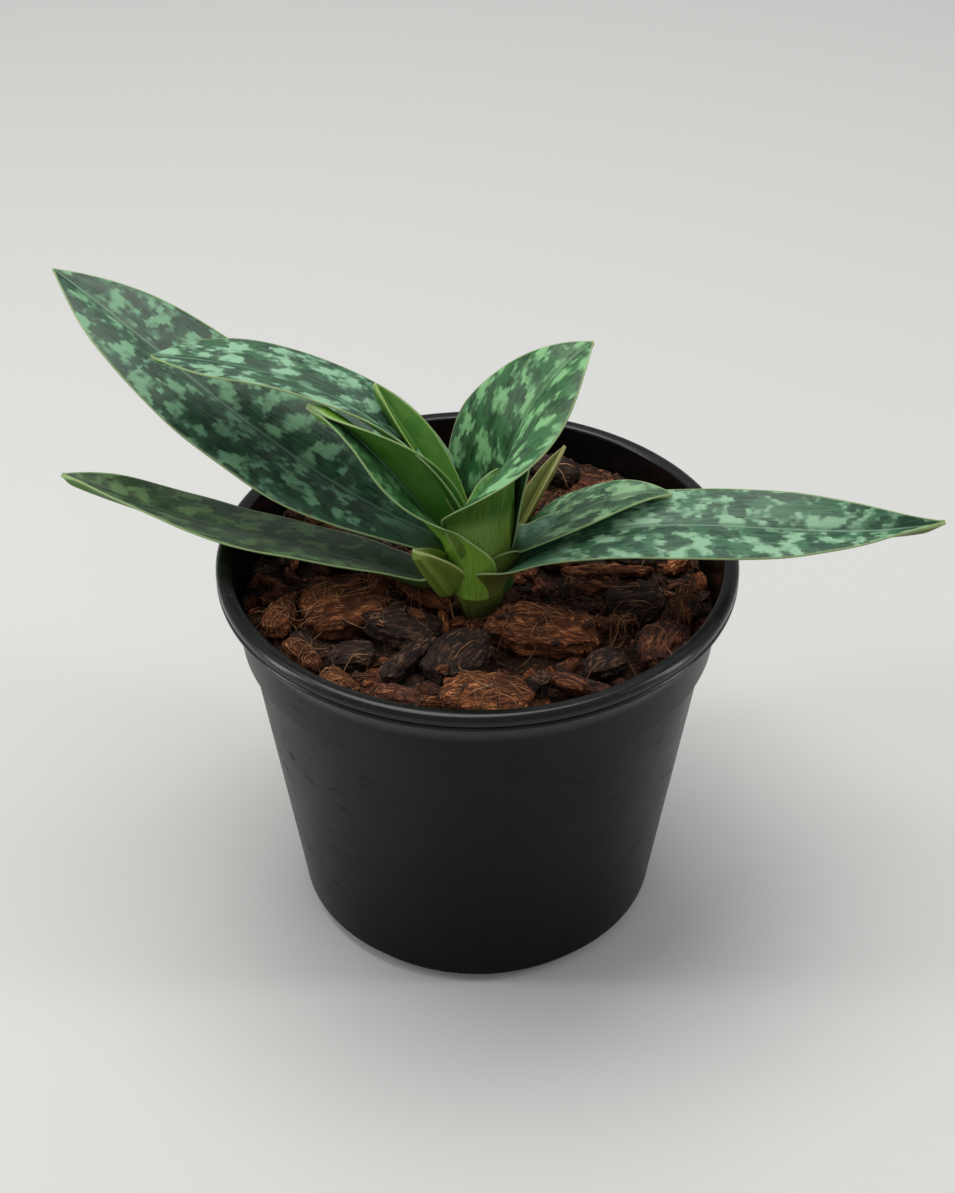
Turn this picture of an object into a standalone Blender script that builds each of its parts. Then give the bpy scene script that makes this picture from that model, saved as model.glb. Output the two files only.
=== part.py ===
"""Potted slipper orchid: a thin black nursery pot, bark and coir mix, and one rooted fan of leaves.

Metres, +Z up, +X to the right and +Y to the back. The origin is the middle of the pot's base.
"""
import math
from dataclasses import dataclass

import bmesh
import bpy
from mathutils import Vector, noise

MM = 0.001
GAP = 0.3 * MM                   # clearance kept between neighbouring pieces
ROUND_CLEARANCE = GAP * 1.25     # the same, set off from the corners of faceted round shapes
MERGE = 0.0001                   # largest distance that a modifier may weld

# Nursery pot
POT_HEIGHT = 105 * MM
RIM_RADIUS = 65 * MM             # outside of the rolled lip
WALL = 0.9 * MM
FLOOR = 1.2 * MM
LIP_HEIGHT = 4.6 * MM
LIP_OVERHANG = 3.2 * MM          # how far the lip stands out from the collar
COLLAR_HEIGHT = 17.5 * MM        # plain band between the lip and the shoulder
COLLAR_DRAFT = 2.2 * MM          # radius that the collar loses on its way down
SHOULDER = 1.0 * MM              # height of the step under the collar
SHOULDER_STEP = 1.8 * MM         # how far the wall steps in at the shoulder
BODY_TAPER = 11 * MM             # radius that the wall loses from the shoulder to the foot
BODY_TOP_RADIUS = RIM_RADIUS - LIP_OVERHANG - COLLAR_DRAFT - SHOULDER_STEP
BODY_FOOT_RADIUS = BODY_TOP_RADIUS - BODY_TAPER
FOOT_HEIGHT = 3.5 * MM
FOOT_SETBACK = 2.8 * MM          # foot ring inside the wall
FOOT_THICKNESS = 3.0 * MM
FOOT_NOTCH = 20 * MM
FOOT_NOTCHES = 4
BOSS_RADIUS = 9 * MM             # flat pad in the middle of the base
DRAIN_RADIUS = 3.6 * MM
DRAIN_INNER_CIRCLE = 22 * MM
DRAIN_OUTER_CIRCLE = 32 * MM
TURNED_STEPS = 40

# Potting mix
HEADSPACE = 14 * MM              # left between the mix and the lip for watering
MIX_TOP = POT_HEIGHT - HEADSPACE
MIX_CROWN = 1.5 * MM             # the mix heaps up a little towards the plant
MIX_LUMP = 1.6 * MM
MIX_LUMP_SPACING = 13 * MM

# Stem and roots
STEM_X, STEM_Y = 0.5 * MM, -6 * MM
STEM_FOOT = MIX_TOP - 14 * MM
STEM_TOP = MIX_TOP + 13.5 * MM
STEM_RADIUS = 7.4 * MM
STEM_DEPTH_SHARE = 0.8           # the fan's stem is flatter from front to back
ROOT_COUNT = 6
ROOT_RADIUS = 1.9 * MM
ROOT_MARGIN = 9.9 * MM           # kept between the longest root and the wall at the pot's foot
ROOT_REACH = BODY_FOOT_RADIUS - WALL - ROOT_MARGIN
ROOT_DROP = 50 * MM
ROOT_POINTS = 8

# Leaves
LEAF_THICKNESS = 1.2 * MM
LEAF_STATIONS = 12               # sections along a blade
LEAF_LANES = 4                   # strips across a blade
FOLD_ROOM = 0.6                  # share of a strip that the fold's inside may take up
LEAF_TIP_WIDTH = 1.6 * MM
LEAF_SOLVER = 'MANIFOLD'         # EXACT loses whole blades where steep folds pass through each other

# Chips
CHIP_FIELD_RADIUS = 60 * MM      # radius of the mix that the chips' places are given for
CHIP_SQUARENESS = 3.5
CHIP_ROUGHNESS = 0.16


@dataclass(frozen=True)
class Leaf:
    """One blade: millimetres and degrees; a value for the base, the middle and the tip where it changes."""
    name: str
    base: tuple                  # its height counts from the top of the mix
    length: float
    width: float
    heading: float               # direction of the base in plan, from +X towards +Y
    sweep: float                 # turn in plan from base to tip
    rise: tuple                  # climb of the midrib
    roll: tuple                  # tilt about the midrib, at the base and the tip
    fold: tuple                  # how far each half is raised from flat
    base_share: float            # width at the base as a share of the full width
    widest: float                # place of the full width along the blade
    taper: float                 # bluntness of the tip
    colour: tuple = (0.045, 0.16, 0.07)


@dataclass(frozen=True)
class Chip:
    """One piece of bark or coir: millimetres and degrees."""
    name: str
    centre: tuple                # in a pot of the usual radius, its height from the top of the mix
    size: tuple
    turn: tuple
    colour: tuple


YOUNG_GREEN = (0.16, 0.42, 0.06)
OLIVE = (0.2, 0.26, 0.07)

# From the youngest leaf in the middle of the fan to the oldest outside
LEAVES = (
    Leaf("leaf_youngest", (-2, -4, 13), 52, 11, 153, 0, (70, 60, 52), (0, 0), (58, 40, 40),
         0.45, 0.47, 2.0, YOUNG_GREEN),
    Leaf("leaf_new_tip", (1, -5, 13), 30, 9, 40, 0, (75, 62, 50), (0, 0), (50, 45, 40),
         0.5, 0.4, 2.2, YOUNG_GREEN),
    Leaf("leaf_upright", (0, -4.5, 13), 68, 33, 17, 15, (88, 64, 26), (-40, 48), (56, 16, 8),
         0.25, 0.4, 1.75),
    Leaf("leaf_behind_upright", (3.5, -1.5, 11), 44, 15, 58, 0, (75, 60, 50), (0, 0), (50, 40, 30),
         0.5, 0.45, 2.2),
    Leaf("leaf_arching_left", (-3.5, -3.5, 13), 100, 24.5, 155, 19, (86, 25, 1), (16, 6), (52, 19, 4),
         0.5, 0.7, 3.0),
    Leaf("leaf_folded_left", (1, -7, 12), 61, 20, 173, -5, (51, 50, 30), (-32, -65), (48, 45, 58),
         0.45, 0.42, 2.4),
    Leaf("leaf_short_right", (3, -5.5, 10), 53, 18, 9, 0, (54, 26, -17), (-4, 2), (45, 4, 22),
         0.36, 0.46, 1.6),
    Leaf("leaf_long_right", (3.5, -6, 7), 119, 24, 10, -3, (40, -6, 8), (4, 26), (32, 4, 56),
         0.6, 0.38, 2.3),
    Leaf("leaf_back_left", (-4, -4, 9), 131, 31, 160, -17, (25, 27, 15), (-15, -13), (44, 4, 14),
         0.3, 0.46, 2.8),
    Leaf("leaf_low_left", (-4.5, -8.5, 7), 105, 23, 167, -2, (22, 5, 20), (8, 15), (34, 3, 36),
         0.44, 0.51, 3.0),
    Leaf("bract_left", (-3, -10, 5), 17, 8.5, 163, 0, (58, 50, 45), (0, 0), (50, 45, 50),
         0.8, 0.4, 2.2, OLIVE),
    Leaf("bract_back", (5, 0, 8), 36, 6.5, 53, 0, (44, 40, 28), (0, 0), (50, 45, 40),
         0.6, 0.4, 2.2, OLIVE),
)

COIR = (0.35, 0.13, 0.04)
BARK = (0.09, 0.04, 0.025)
RED_BARK = (0.2, 0.065, 0.035)

CHIPS = (
    Chip("coir_chunk_left", (-33, -8, 2.5), (23, 18, 9), (8, -6, 12), COIR),
    Chip("bark_dark_left", (-19, -15, 1.5), (20, 14, 8), (-6, 8, -22), BARK),
    Chip("coir_leaning_on_stem", (-15, -1.5, 4.5), (23, 8, 7), (10, 12, -34), COIR),
    Chip("coir_chunk_front", (16, -19, 3.5), (28, 14, 9), (6, 3, -8), COIR),
    Chip("bark_striped", (-5, -29, 3), (20, 14, 8), (-5, 0, 58), BARK),
    Chip("bark_narrow", (-17, -29, 2), (20, 6, 6), (0, 0, 52), BARK),
    Chip("coir_tangle_front", (2, -45, 3), (22, 14, 8), (0, 4, 5), COIR),
    Chip("stick_red_front", (23, -40, 3), (20, 4.5, 4), (0, 3, -12), RED_BARK),
    Chip("bark_small_left", (-31, -27, 1.5), (13, 9, 6), (6, 0, 10), BARK),
    Chip("coir_bit_left", (-49, -11, 2), (15, 7, 6), (0, 0, 70), COIR),
    Chip("coir_bit_front_left", (-43, -27, 2), (13, 6, 5), (4, 0, 128), COIR),
    Chip("coir_bit_low_left", (-33, -39, 2), (11, 7, 5), (0, 5, -42), COIR),
    Chip("bark_disc_right", (40, -5, 1.5), (15, 14, 5), (4, -4, 20), BARK),
    Chip("bark_red_right", (46, -23, 2), (18, 12, 7), (0, 6, 68), RED_BARK),
    Chip("coir_edge_right", (53, -7, 2.5), (13, 5.5, 6), (0, 0, 84), COIR),
    Chip("stick_thin_right", (33, -17, 4), (14, 3, 3), (0, 6, 14), COIR),
    Chip("husk_strip_right", (33, 6, 3), (24, 4, 3), (0, -4, -4), COIR),
    Chip("bark_back", (-8, 47, 6), (20, 14, 8), (-10, 4, 8), RED_BARK),
    Chip("bark_at_rim", (21, 46, 7.5), (14, 12, 6), (-18, 8, -20), BARK),
    Chip("bark_block_back", (15, 35, 4), (10, 10, 8), (8, 6, 30), RED_BARK),
    Chip("bark_long_back_right", (33, 39.5, 3.5), (19, 8, 7), (0, 0, -30), RED_BARK),
    Chip("bark_edge_back_left", (-50, 24, 3), (13, 8, 6), (0, 0, 60), BARK),
    Chip("bark_under_leaf_left", (-31, 17, 2), (18, 13, 7), (5, 4, 20), BARK),
    Chip("coir_back_left", (-25, 37, 3), (17, 12, 8), (-6, 0, -18), COIR),
    Chip("bark_flake_back_left", (-39, 37, 2), (13, 9, 6), (0, 6, 45), RED_BARK),
    Chip("bark_behind_stem", (-6, 21, 2), (19, 12, 7), (-4, 0, 6), BARK),
    Chip("coir_right_of_stem", (22, 18, 2), (15, 11, 7), (6, -4, 36), COIR),
    Chip("bark_under_leaf_right", (40, 13, 2.5), (13, 10, 6), (0, 4, -20), BARK),
    Chip("bark_edge_back_right", (48, 23, 2.5), (11, 7, 6), (0, 0, 50), BARK),
    Chip("bark_front_right", (31, -30, 1.5), (12, 9, 6), (0, 0, 30), BARK),
    Chip("bark_front_left", (-19, -44, 2), (13, 8, 6), (4, 0, -10), RED_BARK),
    Chip("coir_bit_front", (16, -53, 2), (11, 5, 5), (0, 0, 14), COIR),
)


def material(name, colour, roughness, metallic=0.0):
    """Make a Principled BSDF material and return it."""
    made = bpy.data.materials.new(name)
    made.use_nodes = True
    shader = made.node_tree.nodes["Principled BSDF"]
    shader.inputs["Base Color"].default_value = (*colour, 1.0)
    shader.inputs["Roughness"].default_value = roughness
    shader.inputs["Metallic"].default_value = metallic
    made.diffuse_color = (*colour, 1.0)
    return made


def add_object(name, data, collection, finish=None):
    """Put new data in the scene as a named object."""
    obj = bpy.data.objects.new(name, data)
    collection.objects.link(obj)
    if finish:
        data.materials.append(finish)
    return obj


def add_cutter(name, data, collection):
    """Put a cutting shape in the scene, unseen in renders."""
    obj = add_object(name, data, collection)
    obj.hide_render = True
    obj.display_type = 'WIRE'
    return obj


def turned(name, profile, collection, steps=TURNED_STEPS, finish=None):
    """Turn an open profile of (radius, height) points about Z; it runs down the outer side."""
    mesh = bpy.data.meshes.new(name)
    shape = bmesh.new()
    points = [shape.verts.new((radius, 0, height)) for radius, height in profile]
    for upper, lower in zip(points, points[1:]):
        shape.edges.new((upper, lower))
    shape.to_mesh(mesh)
    shape.free()
    obj = add_object(name, mesh, collection, finish)
    screw = obj.modifiers.new("turn", 'SCREW')
    screw.steps = screw.render_steps = steps
    screw.use_merge_vertices = True
    screw.merge_threshold = MERGE
    screw.use_normal_calculate = True
    screw.use_smooth_shade = True
    return obj


def cut(obj, cutter, solver='EXACT'):
    """Take the cutter's shape out of the object."""
    boolean = obj.modifiers.new("clear_" + cutter.name, 'BOOLEAN')
    boolean.operation = 'DIFFERENCE'
    boolean.solver = solver
    boolean.object = cutter


def world_box(obj):
    """Return the lowest and highest corner of an object in world space."""
    bpy.context.view_layer.update()
    corners = [obj.matrix_world @ Vector(corner) for corner in obj.bound_box]
    low = Vector(min(corner[axis] for corner in corners) for axis in range(3))
    high = Vector(max(corner[axis] for corner in corners) for axis in range(3))
    return low, high


def boxes_cross(first, second):
    """Tell whether two objects' world boxes overlap."""
    low_a, high_a = world_box(first)
    low_b, high_b = world_box(second)
    return all(low_a[axis] < high_b[axis] and low_b[axis] < high_a[axis] for axis in range(3))


def cut_where_near(obj, cutters, solver='EXACT'):
    """Cut an object with each cutter whose box reaches it."""
    for cutter in cutters:
        if boxes_cross(obj, cutter):
            cut(obj, cutter, solver)


def evaluated_mesh(obj):
    """Return a new mesh of the object as its modifiers leave it."""
    bpy.context.view_layer.update()
    graph = bpy.context.evaluated_depsgraph_get()
    return bpy.data.meshes.new_from_object(obj.evaluated_get(graph))


def islands(shape):
    """Return the connected groups of vertices of a bmesh, the largest first."""
    unseen = set(shape.verts)
    groups = []
    while unseen:
        start = unseen.pop()
        group, front = {start}, [start]
        while front:
            for edge in front.pop().link_edges:
                for vert in edge.verts:
                    if vert in unseen:
                        unseen.discard(vert)
                        group.add(vert)
                        front.append(vert)
        groups.append(group)
    return sorted(groups, key=len, reverse=True)


def apply_and_keep_whole(obj):
    """Apply the modifiers and drop the loose slivers that a cut leaves at a leaf's or chip's base."""
    mesh = evaluated_mesh(obj)
    shape = bmesh.new()
    shape.from_mesh(mesh)
    for group in islands(shape)[1:]:
        bmesh.ops.delete(shape, geom=list(group), context='VERTS')
    shape.to_mesh(mesh)
    shape.free()
    obj.modifiers.clear()
    obj.data = mesh


# ---------------------------------------------------------------- pot

def collar_radius(height):
    """Outside radius of the pot's collar at a height."""
    top = POT_HEIGHT - LIP_HEIGHT
    return RIM_RADIUS - LIP_OVERHANG - COLLAR_DRAFT * (top - height) / COLLAR_HEIGHT


def pot_levels():
    """Return the heights where the pot's wall changes: collar top, collar foot, shoulder foot, floor."""
    collar_top = POT_HEIGHT - LIP_HEIGHT
    collar_foot = collar_top - COLLAR_HEIGHT
    return collar_top, collar_foot, collar_foot - SHOULDER, FOOT_HEIGHT + FLOOR


def inner_profile():
    """Return the inside of the pot from the middle of the floor up to the collar's top."""
    collar_top, collar_foot, body_top, floor_top = pot_levels()
    corner = 1.5 * MM
    body_slope = (BODY_TOP_RADIUS - BODY_FOOT_RADIUS) / (body_top - FOOT_HEIGHT)
    floor_radius = BODY_FOOT_RADIUS - WALL
    return [(0, floor_top), (floor_radius - corner, floor_top),
            (floor_radius + corner * body_slope, floor_top + corner),
            (BODY_TOP_RADIUS - WALL, body_top + WALL),
            (collar_radius(collar_foot) - WALL, collar_foot + WALL),
            (collar_radius(collar_top) - WALL, collar_top)]


def build_pot(parts, cutters):
    """Thin moulded pot with a rolled lip, a stepped collar, a notched foot ring and drain holes."""
    collar_top, collar_foot, body_top, floor_top = pot_levels()
    inside = inner_profile()
    lip_inner = inside[-1][0]
    roll = 1.1 * MM
    bead = 1.2 * MM              # thin second ridge along the lip's lower edge
    lip = [(lip_inner + 0.3 * MM, POT_HEIGHT - roll), (lip_inner + roll, POT_HEIGHT),
           (RIM_RADIUS - roll, POT_HEIGHT), (RIM_RADIUS - 0.3 * MM, POT_HEIGHT - 0.3 * roll),
           (RIM_RADIUS, POT_HEIGHT - roll), (RIM_RADIUS, collar_top + 2 * bead),
           (RIM_RADIUS - 0.5 * MM, collar_top + 1.5 * bead), (RIM_RADIUS, collar_top + bead),
           (RIM_RADIUS - 0.2 * MM, collar_top)]
    wall = [(collar_radius(collar_top), collar_top), (collar_radius(collar_foot), collar_foot),
            (BODY_TOP_RADIUS, body_top), (BODY_FOOT_RADIUS, FOOT_HEIGHT + 0.8 * MM),
            (BODY_FOOT_RADIUS - 0.8 * MM, FOOT_HEIGHT)]
    foot_outer = BODY_FOOT_RADIUS - FOOT_SETBACK
    foot_inner = foot_outer - FOOT_THICKNESS
    foot = [(foot_outer, FOOT_HEIGHT), (foot_outer - 0.3 * MM, 0), (foot_inner + 0.3 * MM, 0),
            (foot_inner, FOOT_HEIGHT), (BOSS_RADIUS + 0.4 * MM, FOOT_HEIGHT), (BOSS_RADIUS, 0), (0, 0)]
    pot = turned("nursery_pot", inside + lip + wall + foot, parts,
                 finish=material("black_plastic", (0.012, 0.0125, 0.014), 0.42))

    for index in range(FOOT_NOTCHES):
        angle = math.tau * (index + 0.5) / FOOT_NOTCHES
        middle = foot_outer - FOOT_THICKNESS / 2
        bpy.ops.mesh.primitive_cube_add(size=1)
        notch = take_as_cutter("foot_notch_%d" % (index + 1), cutters)
        notch.scale = (FOOT_THICKNESS * 2, FOOT_NOTCH, FOOT_HEIGHT * 2)
        notch.location = (middle * math.cos(angle), middle * math.sin(angle), 0)
        notch.rotation_euler = (0, 0, angle)
        cut(pot, notch)

        for ring, turn, radius in (("inner", 0, DRAIN_INNER_CIRCLE), ("outer", math.pi / 4, DRAIN_OUTER_CIRCLE)):
            bpy.ops.mesh.primitive_cylinder_add(vertices=16, radius=DRAIN_RADIUS, depth=floor_top * 3)
            drain = take_as_cutter("drain_%s_%d" % (ring, index + 1), cutters)
            drain.location = (radius * math.cos(angle + turn), radius * math.sin(angle + turn), 0)
            cut(pot, drain)
    return pot


def take_as_cutter(name, cutters):
    """Move the primitive just added into the cutters' collection."""
    obj = bpy.context.object
    for collection in list(obj.users_collection):
        collection.objects.unlink(obj)
    cutters.objects.link(obj)
    obj.name = obj.data.name = name
    obj.hide_render = True
    obj.display_type = 'WIRE'
    return obj


# ---------------------------------------------------------------- stem and roots

def stem_profile(grow):
    """Return the stem's outline from its domed top to its foot."""
    height = STEM_TOP - STEM_FOOT
    shape = ((0, 1), (0.32, 0.985), (0.62, 0.92), (0.86, 0.82), (1.0, 0.70), (0.98, 0.62),
             (0.88, 0.56), (0.86, 0.48), (0.78, 0.22), (0.5, 0.05), (0, 0))
    outline = [(STEM_RADIUS * share, STEM_FOOT + height * level) for share, level in shape]
    outline[0] = (0, outline[0][1] + grow)
    outline[-1] = (0, outline[-1][1] - grow)
    for index in range(1, len(outline) - 1):
        radius, level = outline[index]
        lift = grow if index < 3 else (-grow if index > len(outline) - 3 else 0)
        outline[index] = (radius + grow, level + lift)
    return outline


def build_stem(parts, cutters):
    """Short stem wrapped in leaf bases, and the clearance copy that its neighbours are cut with."""
    stem = turned("stem", stem_profile(0), parts, steps=24,
                  finish=material("stem_green", (0.3, 0.36, 0.11), 0.45))
    clearance = turned("stem_clearance", stem_profile(ROUND_CLEARANCE), cutters, steps=24)
    clearance.hide_render = True
    clearance.display_type = 'WIRE'
    for obj in (stem, clearance):
        obj.location = (STEM_X, STEM_Y, 0)
        obj.scale = (1, STEM_DEPTH_SHARE, 1)
    return stem, clearance


def root_path(index, extra):
    """Return the points of one root, from inside the stem out and down through the mix."""
    heading = math.tau * (index + 0.35) / ROOT_COUNT
    start = STEM_FOOT + (4 + 2.2 * (index % 3)) * MM
    reach = ROOT_REACH * (0.82 + 0.09 * (index % 3))
    drop = ROOT_DROP * (0.8 + 0.13 * (index % 2))
    points = []
    for step in range(ROOT_POINTS):
        share = step / (ROOT_POINTS - 1)
        sway = 0.35 * math.sin(2.6 * share + index)
        out = reach * math.sin(share * math.pi / 2)
        point = Vector((STEM_X + out * math.cos(heading + sway * share),
                        STEM_Y + out * math.sin(heading + sway * share),
                        start - drop * (0.25 * share + 0.75 * share ** 2)))
        points.append(point)
    points[-1] += (points[-1] - points[-2]).normalized() * extra
    return points


def root_curve(name, index, radius, extra):
    """Make one root as a curve of round section."""
    curve = bpy.data.curves.new(name, 'CURVE')
    curve.dimensions = '3D'
    curve.bevel_depth = radius
    curve.bevel_resolution = 2
    curve.use_fill_caps = True
    points = root_path(index, extra)
    spline = curve.splines.new('POLY')
    spline.points.add(len(points) - 1)
    for slot, point in zip(spline.points, points):
        slot.co = (*point, 1)
    return curve


def tube_object(name, curve, collection, finish=None):
    """Turn a curve into a welded mesh object, so that it can be cut or cut with."""
    rough = bpy.data.objects.new(name + "_curve", curve)
    collection.objects.link(rough)
    mesh = evaluated_mesh(rough)
    shape = bmesh.new()
    shape.from_mesh(mesh)
    bmesh.ops.remove_doubles(shape, verts=shape.verts, dist=MERGE * 0.1)
    shape.to_mesh(mesh)
    shape.free()
    bpy.data.objects.remove(rough)
    mesh.materials.clear()
    return add_object(name, mesh, collection, finish)


def build_roots(parts, cutters, stem_clearance):
    """Thick roots that leave the stem below the surface and run out through the mix."""
    finish = material("root_tan", (0.42, 0.3, 0.17), 0.7)
    roots, clearances = [], []
    for index in range(ROOT_COUNT):
        name = "root_%d" % (index + 1)
        root = tube_object(name, root_curve(name, index, ROOT_RADIUS, 0), parts, finish)
        cut(root, stem_clearance)
        cut_where_near(root, clearances)
        apply_and_keep_whole(root)
        room = root_curve(name + "_clearance", index, ROOT_RADIUS + ROUND_CLEARANCE, ROUND_CLEARANCE)
        clearance = tube_object(name + "_clearance", room, cutters)
        clearance.hide_render = True
        clearance.display_type = 'WIRE'
        roots.append(root)
        clearances.append(clearance)
    return roots, clearances


# ---------------------------------------------------------------- leaves

def through(values, share):
    """Run smoothly through a base, a middle and a tip value."""
    base, middle, tip = values
    return (base * (1 - share) * (1 - 2 * share) + 4 * middle * share * (1 - share)
            + tip * share * (2 * share - 1))


def width_share(leaf, share):
    """Return a leaf's width at a place along it, as a share of its full width."""
    if share < leaf.widest:
        swell = math.sin(math.pi / 2 * share / leaf.widest) ** 1.3
        return leaf.base_share + (1 - leaf.base_share) * swell
    return 1 - ((share - leaf.widest) / (1 - leaf.widest)) ** leaf.taper


def tightest_fold(half_width):
    """Return the steepest angle that a half of this width can stand at without pinching its own inside."""
    strip = 2 * half_width / LEAF_LANES
    return math.atan(FOLD_ROOM * strip / (LEAF_THICKNESS / 2 + ROUND_CLEARANCE))


def leaf_rows(leaf, grow):
    """Return rows of points across a blade, from its base to its tip."""
    step = leaf.length * MM / LEAF_STATIONS
    point = Vector(leaf.base) * MM + Vector((0, 0, MIX_TOP))
    rows = []
    for station in range(LEAF_STATIONS + 1):
        share = station / LEAF_STATIONS
        turn = math.radians(leaf.heading + leaf.sweep * share)
        climb = math.radians(through(leaf.rise, share))
        along = Vector((math.cos(turn) * math.cos(climb), math.sin(turn) * math.cos(climb), math.sin(climb)))
        if station:
            point = point + (along + last_along).normalized() * step
        last_along = along
        side = Vector((-math.sin(turn), math.cos(turn), 0))
        up = along.cross(side)
        roll = math.radians(leaf.roll[0] + (leaf.roll[1] - leaf.roll[0]) * share)
        across = side * math.cos(roll) + up * math.sin(roll)
        face = up * math.cos(roll) - side * math.sin(roll)
        half = max(leaf.width * MM / 2 * width_share(leaf, share), LEAF_TIP_WIDTH / 2)
        fold = min(math.radians(through(leaf.fold, share)), tightest_fold(half))
        half += grow
        end = {0: -grow, LEAF_STATIONS: grow}.get(station, 0)
        middle = point + along * end
        row = []
        for lane in range(LEAF_LANES + 1):
            place = 2 * lane / LEAF_LANES - 1
            out, raised = place * half * math.cos(fold), abs(place) * half * math.sin(fold)
            row.append(middle + across * out + face * raised)
        rows.append(row)
    return rows


def leaf_surface(name, leaf, grow):
    """Loft a blade's sections into an open surface."""
    mesh = bpy.data.meshes.new(name)
    shape = bmesh.new()
    rows = [[shape.verts.new(point) for point in row] for row in leaf_rows(leaf, grow)]
    for row, ahead in zip(rows, rows[1:]):
        for lane in range(LEAF_LANES):
            shape.faces.new((row[lane], ahead[lane], ahead[lane + 1], row[lane + 1]))
    for face in shape.faces:
        face.smooth = True
    shape.to_mesh(mesh)
    shape.free()
    return mesh


def thicken(obj, thickness):
    """Give an open surface its thickness, half to each side."""
    solid = obj.modifiers.new("thickness", 'SOLIDIFY')
    solid.thickness = thickness
    solid.offset = 0


def build_leaves(parts, cutters, stem_clearance):
    """Fan of leaves; each older leaf stops where a younger one or the stem stands in its base."""
    leaves, clearances = [], []
    for leaf in LEAVES:
        blade = add_object(leaf.name, leaf_surface(leaf.name, leaf, 0), parts,
                           material(leaf.name + "_green", leaf.colour, 0.42))
        thicken(blade, LEAF_THICKNESS)
        cut_where_near(blade, [stem_clearance] + clearances, LEAF_SOLVER)
        apply_and_keep_whole(blade)
        clearance = add_cutter(leaf.name + "_clearance", leaf_surface(leaf.name + "_clearance", leaf, ROUND_CLEARANCE),
                               cutters)
        thicken(clearance, LEAF_THICKNESS + 2 * ROUND_CLEARANCE)
        leaves.append(blade)
        clearances.append(clearance)
    return leaves, clearances


# ---------------------------------------------------------------- chips and mix

def chip_mesh(name, chip, seed, grow):
    """Make a rough squared lump of the chip's size."""
    mesh = bpy.data.meshes.new(name)
    shape = bmesh.new()
    bmesh.ops.create_icosphere(shape, subdivisions=2, radius=1)
    for vert in shape.verts:
        direction = vert.co.normalized()
        square = sum(abs(value) ** CHIP_SQUARENESS for value in direction) ** (-1 / CHIP_SQUARENESS)
        wear = 1 + CHIP_ROUGHNESS * noise.noise(direction * 1.7 + Vector((seed * 7.3, seed * 3.1, 0)))
        vert.co = Vector(direction[axis] * chip.size[axis] * MM / 2 for axis in range(3)) * square * wear
    shape.normal_update()
    for vert, normal in [(vert, vert.normal.copy()) for vert in shape.verts]:
        vert.co += normal * grow
    shape.to_mesh(mesh)
    shape.free()
    return mesh


def mix_radius():
    """Return how far the mix reaches at its top, just inside the collar."""
    return collar_radius(MIX_TOP) - WALL - GAP


def wall_room(cutters):
    """Make the ring outside the mix that no chip may enter."""
    edge = mix_radius()
    ring = turned("wall_clearance", [(edge, MIX_TOP - HEADSPACE), (edge, POT_HEIGHT), (RIM_RADIUS * 2, POT_HEIGHT),
                                     (RIM_RADIUS * 2, MIX_TOP - HEADSPACE), (edge, MIX_TOP - HEADSPACE)], cutters)
    ring.hide_render = True
    ring.display_type = 'WIRE'
    return ring


def reach(obj):
    """Return how far an object's vertices lie from the pot's axis."""
    bpy.context.view_layer.update()
    return max((obj.matrix_world @ vert.co).xy.length for vert in obj.data.vertices)


def build_chips(parts, cutters, neighbours):
    """Bark and coir pieces that lie on the mix and against each other, the leaves and the stem."""
    chips, clearances = [], []
    wall = wall_room(cutters)
    spread = mix_radius() / CHIP_FIELD_RADIUS
    for seed, chip in enumerate(CHIPS, 1):
        lump = add_object(chip.name, chip_mesh(chip.name, chip, seed, 0), parts,
                          material(chip.name + "_brown", chip.colour, 0.85))
        room = add_cutter(chip.name + "_clearance", chip_mesh(chip.name + "_clearance", chip, seed, ROUND_CLEARANCE),
                          cutters)
        for obj in (lump, room):
            across, back, height = chip.centre
            obj.location = (across * MM * spread, back * MM * spread, height * MM + MIX_TOP)
            obj.rotation_euler = [math.radians(value) for value in chip.turn]
        cut_where_near(lump, neighbours + clearances, LEAF_SOLVER)
        if reach(lump) > mix_radius():
            cut(lump, wall)
        apply_and_keep_whole(lump)
        chips.append(lump)
        clearances.append(room)
    return chips, clearances


def build_mix(parts, pockets):
    """Packed bark and coir that fills the pot, with a lumpy top and a pocket for each piece in it."""
    wall = [(max(radius - GAP, 0), height + GAP) for radius, height in inner_profile()]
    edge = mix_radius()
    rings = [(edge * share, MIX_TOP + MIX_CROWN * (1 - share ** 2)) for share in (0, 0.22, 0.42, 0.62, 0.8, 0.94)]
    below = [point for point in reversed(wall) if point[1] < MIX_TOP - 2 * MM]
    mix = turned("potting_mix", rings + [(edge, MIX_TOP - 0.8 * MM)] + below, parts,
                 finish=material("mix_brown", (0.07, 0.032, 0.018), 0.95))
    mesh = evaluated_mesh(mix)
    mix.modifiers.clear()
    mix.data = mesh
    for vert in mesh.vertices:
        if vert.co.z > MIX_TOP - 0.5 * MM:
            vert.co.z += MIX_LUMP * noise.noise(vert.co / MIX_LUMP_SPACING)
    cut_where_near(mix, pockets)
    apply_and_keep_whole(mix)
    return mix


def main():
    """Build the whole potted plant."""
    for obj in list(bpy.data.objects):
        bpy.data.objects.remove(obj)
    parts = bpy.data.collections.new("potted_slipper_orchid")
    cutters = bpy.data.collections.new("cutters")
    for collection in (parts, cutters):
        bpy.context.scene.collection.children.link(collection)
    build_pot(parts, cutters)
    _, stem_clearance = build_stem(parts, cutters)
    _, root_clearances = build_roots(parts, cutters, stem_clearance)
    _, leaf_clearances = build_leaves(parts, cutters, stem_clearance)
    _, chip_clearances = build_chips(parts, cutters, [stem_clearance] + leaf_clearances)
    build_mix(parts, [stem_clearance] + root_clearances + leaf_clearances + chip_clearances)


main()
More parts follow.
